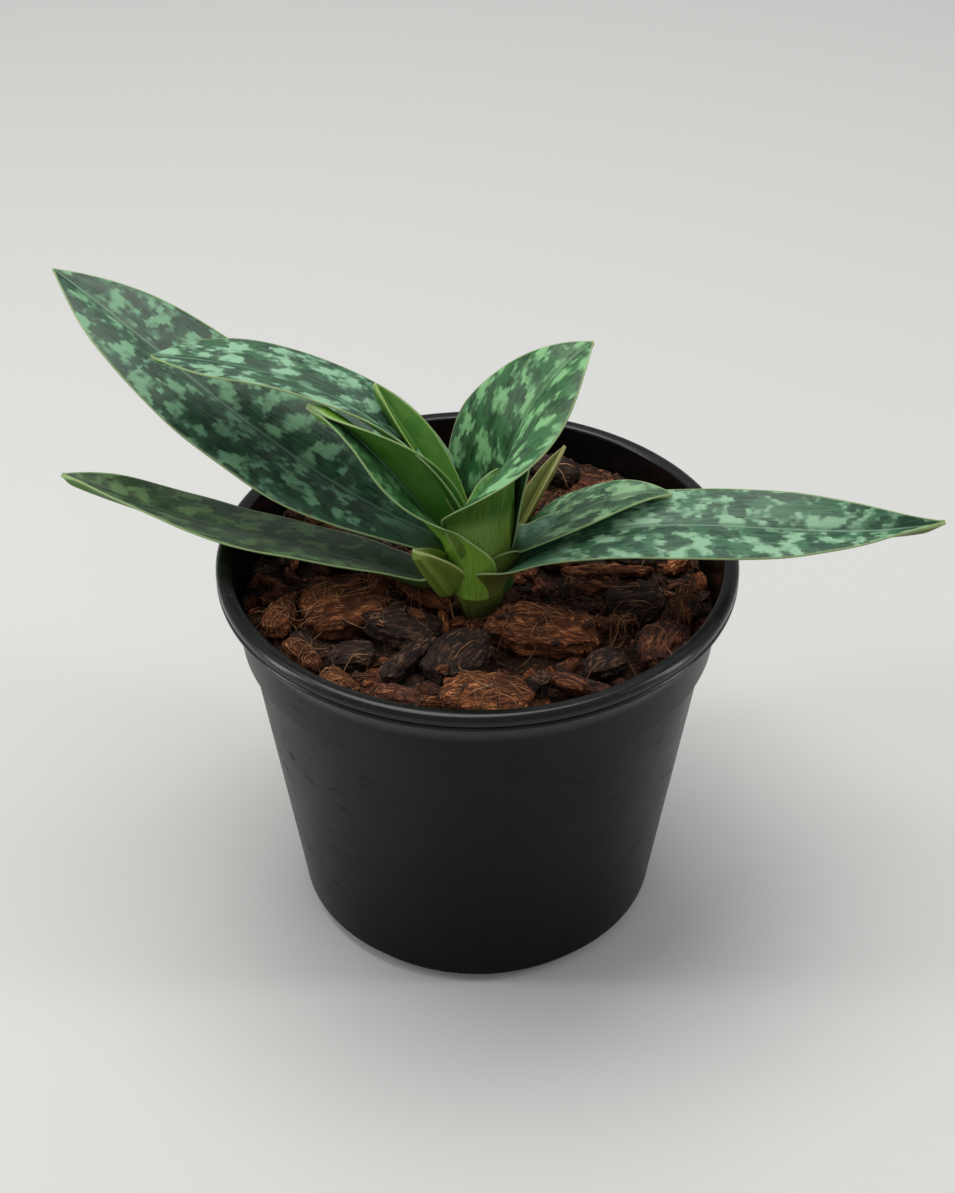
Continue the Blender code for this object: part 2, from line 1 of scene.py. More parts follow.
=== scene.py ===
"""Looks of a potted slipper orchid: mottled leaves, bark and coir in a thin black nursery pot."""
import logging
import math
import random
from dataclasses import dataclass
from enum import Enum
from typing import Iterable, Sequence

import bmesh
import bpy
import numpy as np
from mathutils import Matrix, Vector, noise
from mathutils.bvhtree import BVHTree


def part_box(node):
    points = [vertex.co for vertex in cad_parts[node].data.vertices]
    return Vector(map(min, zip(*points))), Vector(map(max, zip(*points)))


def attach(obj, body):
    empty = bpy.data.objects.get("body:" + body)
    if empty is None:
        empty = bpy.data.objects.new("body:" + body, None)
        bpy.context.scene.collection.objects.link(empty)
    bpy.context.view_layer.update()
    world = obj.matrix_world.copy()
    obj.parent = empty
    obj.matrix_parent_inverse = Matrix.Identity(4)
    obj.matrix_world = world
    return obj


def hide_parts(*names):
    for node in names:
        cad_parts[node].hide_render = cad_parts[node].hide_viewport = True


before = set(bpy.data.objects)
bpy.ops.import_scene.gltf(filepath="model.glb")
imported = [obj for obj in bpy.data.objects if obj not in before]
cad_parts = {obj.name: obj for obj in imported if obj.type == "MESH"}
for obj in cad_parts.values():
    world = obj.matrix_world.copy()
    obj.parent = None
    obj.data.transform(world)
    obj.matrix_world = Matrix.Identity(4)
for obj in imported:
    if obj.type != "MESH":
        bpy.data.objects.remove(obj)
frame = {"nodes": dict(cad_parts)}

MM = 0.001
ROOT_BODY = "root"
HEADSPACE = 14 * MM              # from the lip down to the top of the mix
LOG = logging.getLogger("potted_orchid")

Colour = tuple[float, float, float]
Triple = tuple[float, float, float]


# ------------------------------------------------------------------ node helpers

class Graph:
    """Adds and links the nodes of one node tree."""

    def __init__(self, tree: bpy.types.NodeTree) -> None:
        """Keep the tree that nodes are added to."""
        self.tree = tree

    def node(self, kind: str, **settings: object) -> bpy.types.Node:
        """Add a node.

        Args:
            kind: Blender's node type name.
            **settings: attributes to set on the node.

        Returns:
            The new node.
        """
        made = self.tree.nodes.new(kind)
        for name, value in settings.items():
            setattr(made, name, value)
        return made

    def feed(self, socket: bpy.types.NodeSocket, value: object) -> None:
        """Link a socket to another one, or give it a plain value."""
        if isinstance(value, bpy.types.NodeSocket):
            self.tree.links.new(value, socket)
        elif isinstance(value, tuple) and socket.type == 'RGBA':
            socket.default_value = (*value, 1.0)
        else:
            socket.default_value = value

    def math(self, operation: str, first: object, second: object = 0.0,
             clamp: bool = False) -> bpy.types.NodeSocket:
        """Work out a sum, product or other function of one or two values.

        Args:
            operation: name of the Math node's operation.
            first: first value or socket.
            second: second value or socket, where the operation takes one.
            clamp: keep the result between 0 and 1.

        Returns:
            The result's socket.
        """
        made = self.node('ShaderNodeMath', operation=operation, use_clamp=clamp)
        self.feed(made.inputs[0], first)
        self.feed(made.inputs[1], second)
        return made.outputs[0]

    def times(self, first: object, second: object) -> bpy.types.NodeSocket:
        """Multiply two values."""
        return self.math('MULTIPLY', first, second)

    def plus(self, first: object, second: object) -> bpy.types.NodeSocket:
        """Add two values."""
        return self.math('ADD', first, second)

    def inverse(self, mask: object) -> bpy.types.NodeSocket:
        """Turn a mask inside out."""
        return self.math('SUBTRACT', 1.0, mask)

    def parts(self, place: object) -> Sequence[bpy.types.NodeSocket]:
        """Split a vector into its three values."""
        split = self.node('ShaderNodeSeparateXYZ')
        self.feed(split.inputs[0], place)
        return split.outputs

    def mix(self, share: object, first: object, second: object,
            blend: str = 'MIX') -> bpy.types.NodeSocket:
        """Mix two colours.

        Args:
            share: how much of the second colour shows.
            first: first colour or socket.
            second: second colour or socket.
            blend: name of the blend type.

        Returns:
            The mixed colour's socket.
        """
        made = self.node('ShaderNodeMix', data_type='RGBA', blend_type=blend)
        self.feed(made.inputs[0], share)
        self.feed(made.inputs[6], first)
        self.feed(made.inputs[7], second)
        return made.outputs[2]

    def step(self, value: object, low: float, high: float) -> bpy.types.NodeSocket:
        """Rise smoothly from 0 to 1 between two values.

        Args:
            value: value or socket to test.
            low: where the result starts to leave 0.
            high: where the result reaches 1.

        Returns:
            The mask's socket.
        """
        made = self.node('ShaderNodeMapRange', interpolation_type='SMOOTHSTEP')
        self.feed(made.inputs[0], value)
        made.inputs[1].default_value = low
        made.inputs[2].default_value = high
        return made.outputs[0]

    def vector(self, x: object, y: object, z: object) -> bpy.types.NodeSocket:
        """Join three values into a vector."""
        made = self.node('ShaderNodeCombineXYZ')
        for socket, value in zip(made.inputs, (x, y, z)):
            self.feed(socket, value)
        return made.outputs[0]

    def noise(self, place: object, scale: object, detail: float = 3.0,
              rough: float = 0.5) -> bpy.types.NodeSocket:
        """Read cloudy noise at a place.

        Args:
            place: vector socket.
            scale: size of the noise, larger is finer.
            detail: octaves.
            rough: weight of the finer octaves.

        Returns:
            The value's socket, around 0.5.
        """
        made = self.node('ShaderNodeTexNoise')
        self.feed(made.inputs["Vector"], place)
        self.feed(made.inputs["Scale"], scale)
        made.inputs["Detail"].default_value = detail
        made.inputs["Roughness"].default_value = rough
        return made.outputs[0]

    def attribute(self, name: str) -> bpy.types.NodeSocket:
        """Read a number that the mesh carries at each point."""
        return self.node('ShaderNodeAttribute', attribute_name=name).outputs["Fac"]

    def place(self) -> bpy.types.NodeSocket:
        """Return the object's own coordinates."""
        return self.node('ShaderNodeTexCoord').outputs["Object"]


class GroupMaker:
    """Builds the shader node groups that several finishes share."""

    LANE = 0.85                  # width of a leaf's pattern lanes, in millimetres
    BLOCK = 1.5                  # length of the blocks in a lane
    LANE_SHIFT = 1.9             # how far neighbouring lanes may be out of step
    LANE_EDGE, BLOCK_EDGE = 0.6, 0.35    # how stepped the blotches' edges are, 0 to 1

    def __init__(self) -> None:
        """Build every shared group once."""
        self.mottle = self._mottle()
        self.margin = self._margin()
        self.fibre = self._fibre()
        self.dust = self._dust()

    @staticmethod
    def _new(name: str, inputs: Sequence[tuple[str, str, object]],
             outputs: Sequence[tuple[str, str]]) -> tuple[bpy.types.NodeTree, Graph, dict, bpy.types.Node]:
        """Start a group.

        Args:
            name: the group's name.
            inputs: name, socket type and default of each input.
            outputs: name and socket type of each output.

        Returns:
            The tree, its graph helper, its input sockets by name, and its output node.
        """
        tree = bpy.data.node_groups.new(name, 'ShaderNodeTree')
        for label, kind, default in inputs:
            socket = tree.interface.new_socket(label, in_out='INPUT', socket_type=kind)
            if default is not None:
                socket.default_value = default
        for label, kind in outputs:
            tree.interface.new_socket(label, in_out='OUTPUT', socket_type=kind)
        graph = Graph(tree)
        entry = graph.node('NodeGroupInput')
        leave = graph.node('NodeGroupOutput')
        return tree, graph, {socket.name: socket for socket in entry.outputs}, leave

    def _mottle(self) -> bpy.types.NodeTree:
        """Build the stepped blotches of a mottled leaf.

        The skin is split into narrow lanes along the leaf, each out of step with the next and cut into short
        blocks, and the blotches' noise is read lane by lane and block by block.

        Returns:
            A group that gives a pale mask, a dark mask and a fine vein value.
        """
        tree, graph, given, leave = self._new(
            "leaf_mottle",
            (("Across", 'NodeSocketFloat', 0.0), ("Along", 'NodeSocketFloat', 0.0),
             ("Seed", 'NodeSocketFloat', 0.0)),
            (("Pale", 'NodeSocketFloat'), ("Dark", 'NodeSocketFloat'), ("Vein", 'NodeSocketFloat')))
        across, along, seed = given["Across"], given["Along"], given["Seed"]
        wander = graph.noise(graph.vector(across, graph.times(along, 0.3), seed), 0.35, 2)
        strayed = graph.plus(across, graph.times(wander, 2.2))
        lane = graph.math('SNAP', strayed, self.LANE)
        jitter = graph.node('ShaderNodeTexWhiteNoise', noise_dimensions='2D')
        graph.feed(jitter.inputs["Vector"], graph.vector(lane, seed, 0.0))
        lane = graph.plus(graph.times(lane, self.LANE_EDGE), graph.times(strayed, 1 - self.LANE_EDGE))
        shifted = graph.plus(along, graph.times(jitter.outputs["Value"], self.LANE_SHIFT))
        block = graph.plus(graph.times(graph.math('SNAP', shifted, self.BLOCK), self.BLOCK_EDGE),
                           graph.times(shifted, 1 - self.BLOCK_EDGE))
        patch_place = graph.vector(graph.times(lane, 0.2), graph.times(block, 0.15), seed)
        patch = graph.noise(patch_place, 1.0, 2.5, 0.55)
        spot_place = graph.vector(graph.times(lane, 0.24), graph.times(block, 0.17), graph.plus(seed, 17.0))
        spot = graph.noise(spot_place, 1.0, 2.0, 0.5)
        vein_place = graph.vector(across, graph.times(along, 0.04), seed)
        graph.feed(leave.inputs["Pale"], graph.step(patch, 0.45, 0.57))
        graph.feed(leave.inputs["Dark"], graph.step(spot, 0.475, 0.575))
        graph.feed(leave.inputs["Vein"], graph.noise(vein_place, 3.2, 2.0, 0.6))
        return tree

    def _margin(self) -> bpy.types.NodeTree:
        """Build the pale rim of a leaf.

        Returns:
            A group that gives a mask from the distance to the leaf's edge.
        """
        tree, graph, given, leave = self._new(
            "leaf_margin",
            (("Edge", 'NodeSocketFloat', 0.0), ("Along", 'NodeSocketFloat', 0.0),
             ("Width", 'NodeSocketFloat', 0.4)),
            (("Mask", 'NodeSocketFloat'),))
        ragged = graph.noise(graph.vector(given["Along"], 0.0, 0.0), 0.8, 2)
        width = graph.times(given["Width"], graph.plus(ragged, 0.5))
        ratio = graph.math('DIVIDE', given["Edge"], width)
        graph.feed(leave.inputs["Mask"], graph.inverse(graph.step(ratio, 0.55, 1.15)))
        return tree

    def _fibre(self) -> bpy.types.NodeTree:
        """Build streaks that run along a piece of bark, husk or root.

        Returns:
            A group that gives a height, a streak mask and broad blotches.
        """
        tree, graph, given, leave = self._new(
            "plant_fibre",
            (("Grain", 'NodeSocketVector', None), ("Fineness", 'NodeSocketFloat', 1.0),
             ("Stretch", 'NodeSocketFloat', 0.12)),
            (("Height", 'NodeSocketFloat'), ("Streak", 'NodeSocketFloat'), ("Blotch", 'NodeSocketFloat')))
        grain = given["Grain"]
        along, across, through_grain = graph.parts(grain)
        side = graph.plus(across, graph.times(graph.noise(grain, 0.5, 2), 1.6))
        stretched = graph.vector(graph.times(along, given["Stretch"]), side, through_grain)
        streak = graph.noise(stretched, given["Fineness"], 4, 0.65)
        graph.feed(leave.inputs["Height"], streak)
        graph.feed(leave.inputs["Streak"], graph.step(streak, 0.42, 0.62))
        graph.feed(leave.inputs["Blotch"], graph.step(graph.noise(grain, 0.22, 3), 0.38, 0.62))
        return tree

    def _dust(self) -> bpy.types.NodeTree:
        """Build the dull film that settles on faces that look up.

        Returns:
            A group that gives a dust mask.
        """
        tree, graph, given, leave = self._new(
            "settled_dust",
            (("Place", 'NodeSocketVector', None), ("Amount", 'NodeSocketFloat', 0.5)),
            (("Mask", 'NodeSocketFloat'),))
        upward = graph.step(graph.parts(graph.node('ShaderNodeNewGeometry').outputs["Normal"])[2], -0.1, 0.9)
        speckle = graph.step(graph.noise(given["Place"], 900.0, 4, 0.7), 0.5, 0.75)
        cloud = graph.step(graph.noise(given["Place"], 70.0, 3), 0.35, 0.7)
        settled = graph.times(graph.plus(graph.times(upward, 0.7), 0.3), graph.times(speckle, cloud))
        graph.feed(leave.inputs["Mask"], graph.math('MULTIPLY', settled, given["Amount"], clamp=True))
        return tree


class Finish:
    """Base of the finishes: makes a material with one Principled BSDF."""

    @staticmethod
    def start(name: str) -> tuple[bpy.types.Material, Graph, bpy.types.Node]:
        """Start a material.

        Args:
            name: the material's name.

        Returns:
            The material, its graph helper and its shader node.
        """
        material = bpy.data.materials.new(name)
        material.use_nodes = True
        return material, Graph(material.node_tree), material.node_tree.nodes["Principled BSDF"]

    @staticmethod
    def use(graph: Graph, group: bpy.types.NodeTree, **values: object) -> bpy.types.Node:
        """Place a shared group and feed its inputs.

        Args:
            graph: graph of the material.
            group: the shared group.
            **values: value or socket for each input.

        Returns:
            The group's node.
        """
        made = graph.node('ShaderNodeGroup', node_tree=group)
        for name, value in values.items():
            graph.feed(made.inputs[name], value)
        return made

    @staticmethod
    def bump(graph: Graph, shader: bpy.types.Node, height: object, distance: float,
             strength: float = 1.0) -> None:
        """Feed a height to the shader's normal.

        Args:
            graph: graph of the material.
            shader: the Principled BSDF.
            height: height value or socket.
            distance: height of the relief in metres.
            strength: weight of the relief.
        """
        made = graph.node('ShaderNodeBump')
        made.inputs["Strength"].default_value = strength
        made.inputs["Distance"].default_value = distance
        graph.feed(made.inputs["Height"], height)
        graph.feed(shader.inputs["Normal"], made.outputs[0])


@dataclass(frozen=True)
class MottledSkin(Finish):
    """Leaf skin with dark blotches on grey-green, a pale edge and a plain underside."""

    name: str
    pale: Colour = (0.2, 0.41, 0.22)
    ground: Colour = (0.03, 0.12, 0.045)
    dark: Colour = (0.004, 0.03, 0.012)
    sheath: Colour = (0.17, 0.24, 0.035)
    under: Colour = (0.05, 0.15, 0.025)
    rim: Colour = (0.3, 0.42, 0.17)
    mottling: float = 1.0
    seed: float = 0.0
    plain_until: float = 16.0    # where the blotches start, in millimetres from the base
    plain_back: float = 0.0      # how far the half behind the midrib loses its blotches
    groove_shade: tuple[float, float] = (0.4, 1.5)    # where the painted shade in the groove over the midrib fades
    rib_highlight: tuple[float, float] = (0.1, 0.4)       # where the painted highlight along the midrib fades
    rim_width: float = 0.36
    roughness: float = 0.4
    specular: float = 0.42
    relief: float = 0.12 * MM

    def upper(self, graph: Graph, mottle: bpy.types.Node, across: bpy.types.NodeSocket,
              along: bpy.types.NodeSocket) -> bpy.types.NodeSocket:
        """Colour the upper face's blotches, with painted shade in the groove over the midrib and a painted
        highlight along its middle.

        Args:
            graph: graph of the material.
            mottle: the placed group of blotches.
            across: distance from the midrib.
            along: distance from the base.

        Returns:
            The colour.
        """
        spread = graph.step(along, self.plain_until * 0.6, self.plain_until * 1.8)
        pale = graph.times(mottle.outputs["Pale"], graph.times(spread, self.mottling))
        dark = graph.times(mottle.outputs["Dark"], graph.times(spread, self.mottling * 0.9))
        skin = graph.mix(pale, self.ground, self.pale)
        skin = graph.mix(dark, skin, self.dark)
        if self.plain_back:
            behind = graph.step(across, 0.2, -0.3)
            skin = graph.mix(graph.times(behind, self.plain_back), skin, self.under)
        # painted shade darkens the groove over the midrib, and a thin painted highlight runs down its middle
        beside = graph.math('ABSOLUTE', across)
        skin = graph.mix(graph.times(graph.inverse(graph.step(beside, *self.groove_shade)), 0.65), skin, self.dark)
        return graph.mix(graph.times(graph.inverse(graph.step(beside, *self.rib_highlight)), 0.4), skin, self.pale)

    def clasping(self, graph: Graph, vein: bpy.types.NodeSocket,
                 along: bpy.types.NodeSocket) -> bpy.types.NodeSocket:
        """Colour the striped sheath, which turns paler towards its foot.

        Args:
            graph: graph of the material.
            vein: mask of the veins.
            along: distance from the base.

        Returns:
            The colour.
        """
        striped = graph.mix(graph.times(vein, 0.55), self.sheath, self.under)
        low = graph.inverse(graph.step(along, -18.0, -5.0))
        return graph.mix(graph.times(low, 0.3), striped, self.rim)

    def build(self, groups: GroupMaker) -> bpy.types.Material:
        """Make the material.

        Args:
            groups: the shared groups.

        Returns:
            The leaf material.
        """
        material, graph, shader = self.start(self.name)
        across, along = graph.attribute("across_mm"), graph.attribute("along_mm")
        mottle = self.use(graph, groups.mottle, Across=across, Along=along, Seed=self.seed)
        vein = graph.step(mottle.outputs["Vein"], 0.35, 0.7)
        top = graph.mix(graph.times(vein, 0.16), self.upper(graph, mottle, across, along), self.pale)
        below = graph.mix(graph.times(vein, 0.35), self.under, self.sheath)
        skin = graph.mix(graph.attribute("underside"), top, below)
        foot = graph.inverse(graph.step(along, 0.0, self.plain_until))
        skin = graph.mix(graph.times(foot, 0.85), skin, self.clasping(graph, vein, along))
        rim = self.use(graph, groups.margin, Edge=graph.attribute("edge_mm"), Along=along,
                       Width=self.rim_width)
        skin = graph.mix(graph.times(rim.outputs["Mask"], 0.75), skin, self.rim)
        graph.feed(shader.inputs["Base Color"], skin)
        pale = mottle.outputs["Pale"]
        graph.feed(shader.inputs["Roughness"], graph.plus(self.roughness, graph.times(pale, 0.08)))
        shader.inputs["Specular IOR Level"].default_value = self.specular
        raised = graph.plus(mottle.outputs["Vein"], graph.times(pale, 0.15))
        self.bump(graph, shader, raised, self.relief, 0.7)
        return material


@dataclass(frozen=True)
class StemSkin(Finish):
    """Olive stem with scar rings and a brown, papery foot."""

    name: str = "stem_skin"
    green: Colour = (0.14, 0.19, 0.03)
    brown: Colour = (0.05, 0.032, 0.008)
    scar: Colour = (0.2, 0.21, 0.06)
    brown_ring: float = 8.5      # heights above the mix, in millimetres
    pale_ring: float = 7.6

    @staticmethod
    def ring(graph: Graph, level: bpy.types.NodeSocket, height: float) -> bpy.types.NodeSocket:
        """Mask a thin ring at a height."""
        away = graph.math('ABSOLUTE', graph.math('SUBTRACT', level, height))
        return graph.inverse(graph.step(away, 0.1, 0.5))

    def build(self, groups: GroupMaker) -> bpy.types.Material:
        """Make the material.

        Args:
            groups: the shared groups.

        Returns:
            The stem material.
        """
        material, graph, shader = self.start(self.name)
        level = graph.attribute("level_mm")
        fibre = self.use(graph, groups.fibre, Grain=graph.vector(level, graph.attribute("around_mm"), 0.0),
                         Fineness=1.6, Stretch=0.15)
        skin = graph.mix(graph.step(level, -3.0, 7.0), self.brown, self.green)
        skin = graph.mix(graph.times(fibre.outputs["Streak"], 0.35), skin, self.brown)
        skin = graph.mix(graph.times(self.ring(graph, level, self.brown_ring), 0.75), skin, self.brown)
        skin = graph.mix(graph.times(self.ring(graph, level, self.pale_ring), 0.8), skin, self.scar)
        graph.feed(shader.inputs["Base Color"], skin)
        shader.inputs["Roughness"].default_value = 0.5
        self.bump(graph, shader, fibre.outputs["Height"], 0.2 * MM, 0.6)
        return material


@dataclass(frozen=True)
class PlantPiece(Finish):
    """Dry or damp plant matter with grain: bark, coir, husk, crumbs or roots."""

    name: str
    light: Colour
    middle: Colour
    deep: Colour
    fineness: float = 1.6
    stretch: float = 0.12
    relief: float = 0.4 * MM
    dusting: float = 0.35
    dust: Colour = (0.3, 0.2, 0.13)
    roughness: float = 0.88
    specular: float = 0.3

    def build(self, groups: GroupMaker) -> bpy.types.Material:
        """Make the material.

        Args:
            groups: the shared groups.

        Returns:
            The bark or coir material.
        """
        material, graph, shader = self.start(self.name)
        grain = graph.node('ShaderNodeAttribute', attribute_name="grain_mm").outputs["Vector"]
        tint = graph.attribute("tint")
        fibre = self.use(graph, groups.fibre, Grain=grain, Fineness=self.fineness, Stretch=self.stretch)
        hollow = graph.attribute("hollow")
        skin = graph.mix(fibre.outputs["Streak"], self.deep, self.middle)
        crest = graph.step(fibre.outputs["Height"], 0.5, 0.68)
        skin = graph.mix(graph.times(fibre.outputs["Blotch"], crest), skin, self.light)
        # painted shade: sunken spots, dips in the mix and the undersides of crumbs are darkened towards the
        # deep colour
        skin = graph.mix(graph.times(hollow, 0.8), skin, self.deep)
        skin = graph.mix(1.0, skin, graph.vector(tint, tint, tint), 'MULTIPLY')
        dust = self.use(graph, groups.dust, Place=graph.place(), Amount=self.dusting)
        skin = graph.mix(dust.outputs["Mask"], skin, self.dust)
        graph.feed(shader.inputs["Base Color"], skin)
        shader.inputs["Roughness"].default_value = self.roughness
        shader.inputs["Specular IOR Level"].default_value = self.specular
        self.bump(graph, shader, fibre.outputs["Height"], self.relief)
        return material


@dataclass(frozen=True)
class PotPlastic(Finish):
    """Thin black moulded plastic with a glossier lip, fine flow marks, scuffs and dust."""

    name: str = "pot_plastic"
    black: Colour = (0.0022, 0.0024, 0.0027)
    scuff: Colour = (0.014, 0.0145, 0.0155)
    dust: Colour = (0.08, 0.068, 0.055)
    dusting: float = 0.4
    lip: tuple[float, float] = (94 * MM, 98 * MM)    # heights between which the gloss sets in
    lip_gloss: float = 0.55
    lip_roughness: float = 0.22
    roughness: float = 0.33
    specular: float = 0.08
    drag: float = 0.35           # how far the flow marks are drawn out round the pot
    relief: float = 0.6 * MM

    def build(self, groups: GroupMaker) -> bpy.types.Material:
        """Make the material.

        Args:
            groups: the shared groups.

        Returns:
            The pot material.
        """
        material, graph, shader = self.start(self.name)
        shader.inputs["Specular IOR Level"].default_value = self.specular
        shader.inputs["Coat Roughness"].default_value = self.lip_roughness
        place = graph.place()
        across, deep, height = graph.parts(place)
        dragged = graph.vector(graph.times(across, self.drag), graph.times(deep, self.drag), height)
        graph.feed(shader.inputs["Coat Weight"], graph.times(graph.step(height, *self.lip), self.lip_gloss))
        cloud = graph.noise(place, 38.0, 4, 0.6)
        streaks = graph.noise(dragged, 420.0, 3, 0.6)
        scuffs = graph.times(graph.step(streaks, 0.56, 0.74), graph.step(cloud, 0.45, 0.65))
        film = self.use(graph, groups.dust, Place=place, Amount=self.dusting)
        skin = graph.mix(graph.times(scuffs, 0.5), self.black, self.scuff)
        skin = graph.mix(film.outputs["Mask"], skin, self.dust)
        graph.feed(shader.inputs["Base Color"], skin)
        rough = graph.plus(self.roughness, graph.times(scuffs, 0.22))
        rough = graph.plus(rough, graph.times(graph.math('SUBTRACT', cloud, 0.5), 0.16))
        graph.feed(shader.inputs["Roughness"], rough)
        fine, wave = graph.noise(place, 1500.0, 3, 0.6), graph.noise(dragged, 55.0, 2)
        self.bump(graph, shader, graph.plus(graph.times(fine, 0.05), wave), self.relief, 0.35)
        return material


@dataclass(frozen=True)
class PlainFloor(Finish):
    """Pale matt floor."""

    name: str = "pale_floor"
    colour: Colour = (0.62, 0.62, 0.6)
    worn: Colour = (0.5, 0.5, 0.5)

    def build(self, groups: GroupMaker) -> bpy.types.Material:
        """Make the material.

        Args:
            groups: the shared groups.

        Returns:
            The floor material.
        """
        material, graph, shader = self.start(self.name)
        cloud = graph.noise(graph.place(), 3.0, 2)
        graph.feed(shader.inputs["Base Color"], graph.mix(graph.times(cloud, 0.08), self.colour, self.worn))
        shader.inputs["Roughness"].default_value = 0.9
        return material


# ------------------------------------------------------------------ mesh helpers

class MeshData:
    """Collects points, faces and per-point numbers, and turns them into an object."""

    def __init__(self) -> None:
        """Start empty."""
        self.points: list[Vector] = []
        self.faces: list[tuple[int, ...]] = []
        self.numbers: dict[str, list[float]] = {}
        self.vectors: dict[str, list[Triple]] = {}

    def add(self, point: Vector, **values: object) -> int:
        """Add a point.

        Args:
            point: its place in metres.
            **values: numbers, or vectors, that the point carries.

        Returns:
            The point's index.
        """
        self.points.append(point)
        for name, value in values.items():
            store = self.vectors if isinstance(value, (tuple, Vector)) else self.numbers
            store.setdefault(name, []).append(value)
        return len(self.points) - 1

    def band(self, row: Sequence[int], above: Sequence[int]) -> None:
        """Join two closed rows of points with faces."""
        for index in range(len(row)):
            after = (index + 1) % len(row)
            self.faces.append((row[index], row[after], above[after], above[index]))

    def skirt(self, row: Sequence[int], outer: Sequence[int]) -> None:
        """Join a closed row of points to one outside or below it."""
        for index in range(len(row)):
            after = (index + 1) % len(row)
            self.faces.append((row[index], outer[index], outer[after], row[after]))

    def build(self, name: str, material: bpy.types.Material, smooth: bool = True) -> bpy.types.Object:
        """Make the object.

        Args:
            name: the piece's name.
            material: its finish.
            smooth: shade it smooth.

        Returns:
            The new object.
        """
        mesh = bpy.data.meshes.new(name)
        mesh.from_pydata([tuple(point) for point in self.points], [], self.faces)
        carry(mesh, **self.numbers)
        carry(mesh, **{label: [part for value in values for part in value]
                       for label, values in self.vectors.items()})
        shape = bmesh.new()
        shape.from_mesh(mesh)
        bmesh.ops.recalc_face_normals(shape, faces=shape.faces)
        shape.to_mesh(mesh)
        shape.free()
        mesh.polygons.foreach_set("use_smooth", [smooth] * len(mesh.polygons))
        mesh.materials.append(material)
        obj = bpy.data.objects.new(name, mesh)
        bpy.context.scene.collection.objects.link(obj)
        return obj


def settle(piece: bpy.types.Object, slot: str, *nodes: str) -> bpy.types.Object:
    """Fix a piece to the model and hide the CAD solids that it replaces.

    Args:
        piece: the new piece.
        slot: the record's material slot; not used.
        *nodes: CAD nodes that it replaces.

    Returns:
        The same piece.
    """
    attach(piece, ROOT_BODY)
    if nodes:
        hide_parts(*nodes)
    LOG.info("%s: %d faces", piece.name, len(piece.data.polygons))
    return piece


def fine_copy(name: str, source: bpy.types.Object, cell: float, look: bpy.types.Material) -> bpy.types.Object:
    """Copy a CAD solid as one skin of small, even faces.

    Args:
        name: the copy's name.
        source: the CAD object, which stays as it is.
        cell: size of the faces in metres.
        look: the copy's material.

    Returns:
        The copy.
    """
    obj = bpy.data.objects.new(name, source.data.copy())
    bpy.context.scene.collection.objects.link(obj)
    obj.matrix_world = source.matrix_world.copy()
    remesh = obj.modifiers.new("fine", 'REMESH')
    remesh.mode = 'VOXEL'
    remesh.voxel_size = cell
    bpy.context.view_layer.update()
    fine = bpy.data.meshes.new_from_object(obj.evaluated_get(bpy.context.evaluated_depsgraph_get()))
    obj.modifiers.clear()
    obj.data = fine
    fine.materials.clear()
    fine.materials.append(look)
    return obj


def carry(mesh: bpy.types.Mesh, **values: Sequence[float]) -> None:
    """Store numbers on a mesh's points.

    Args:
        mesh: the mesh.
        **values: one flat list of numbers, or of vectors' parts, for each attribute.
    """
    for label, numbers in values.items():
        wide = len(numbers) > len(mesh.vertices)
        layer = mesh.attributes.new(label, 'FLOAT_VECTOR' if wide else 'FLOAT', 'POINT')
        layer.data.foreach_set("vector" if wide else "value", numbers)


def through(values: Triple, share: float) -> float:
    """Run smoothly through a base, a middle and a tip value.

    Args:
        values: the three values.
        share: place between 0 and 1.

    Returns:
        The value there.
    """
    base, middle, tip = values
    return (base * (1 - share) * (1 - 2 * share) + 4 * middle * share * (1 - share)
            + tip * share * (2 * share - 1))


def ease(low: float, high: float, value: float) -> float:
    """Rise smoothly from 0 to 1 between two values.

    Args:
        low: start of the rise.
        high: end of the rise.
        value: where to look.

    Returns:
        A number from 0 to 1.
    """
    share = min(max((value - low) / (high - low), 0.0), 1.0)
    return share * share * (3 - 2 * share)


# ------------------------------------------------------------------ leaves

@dataclass(frozen=True)
class Blade:
    """One leaf, in millimetres and degrees, with its sheath round the stem."""

    node: str
    base: Triple                 # the height counts from the top of the mix
    length: float
    width: float
    heading: float
    sweep: float
    rise: Triple
    roll: tuple[float, float]
    fold: Triple
    base_share: float
    widest: float
    taper: float
    skin: MottledSkin
    bow: float = 16.0            # how far each half arches between midrib and edge
    foot: Triple | None = None   # where the sheath's keel stands on the stem
    wrap: float = 120.0          # how far each half of the sheath reaches round the stem
    clasp: float = 11.0          # the same along the sheath's skin
    join: float = 0.1            # share of the blade that the sheath runs into
    opening: float = 1.0         # above 1 the sheath stays closed for longer
    hugging: float = 1.0         # above 1 it stays wide for longer
    back_swell: float = 0.0      # how much wider the half behind the midrib is near the base
    ripple: float = 0.35         # waviness of the edges
    slot: str = "mottled_leaf"


@dataclass
class Station:
    """One cross-section of a leaf."""

    point: Vector
    side: Vector
    face: Vector
    fold: float
    half: float
    bow: float
    along: float
    swell: float = 0.0


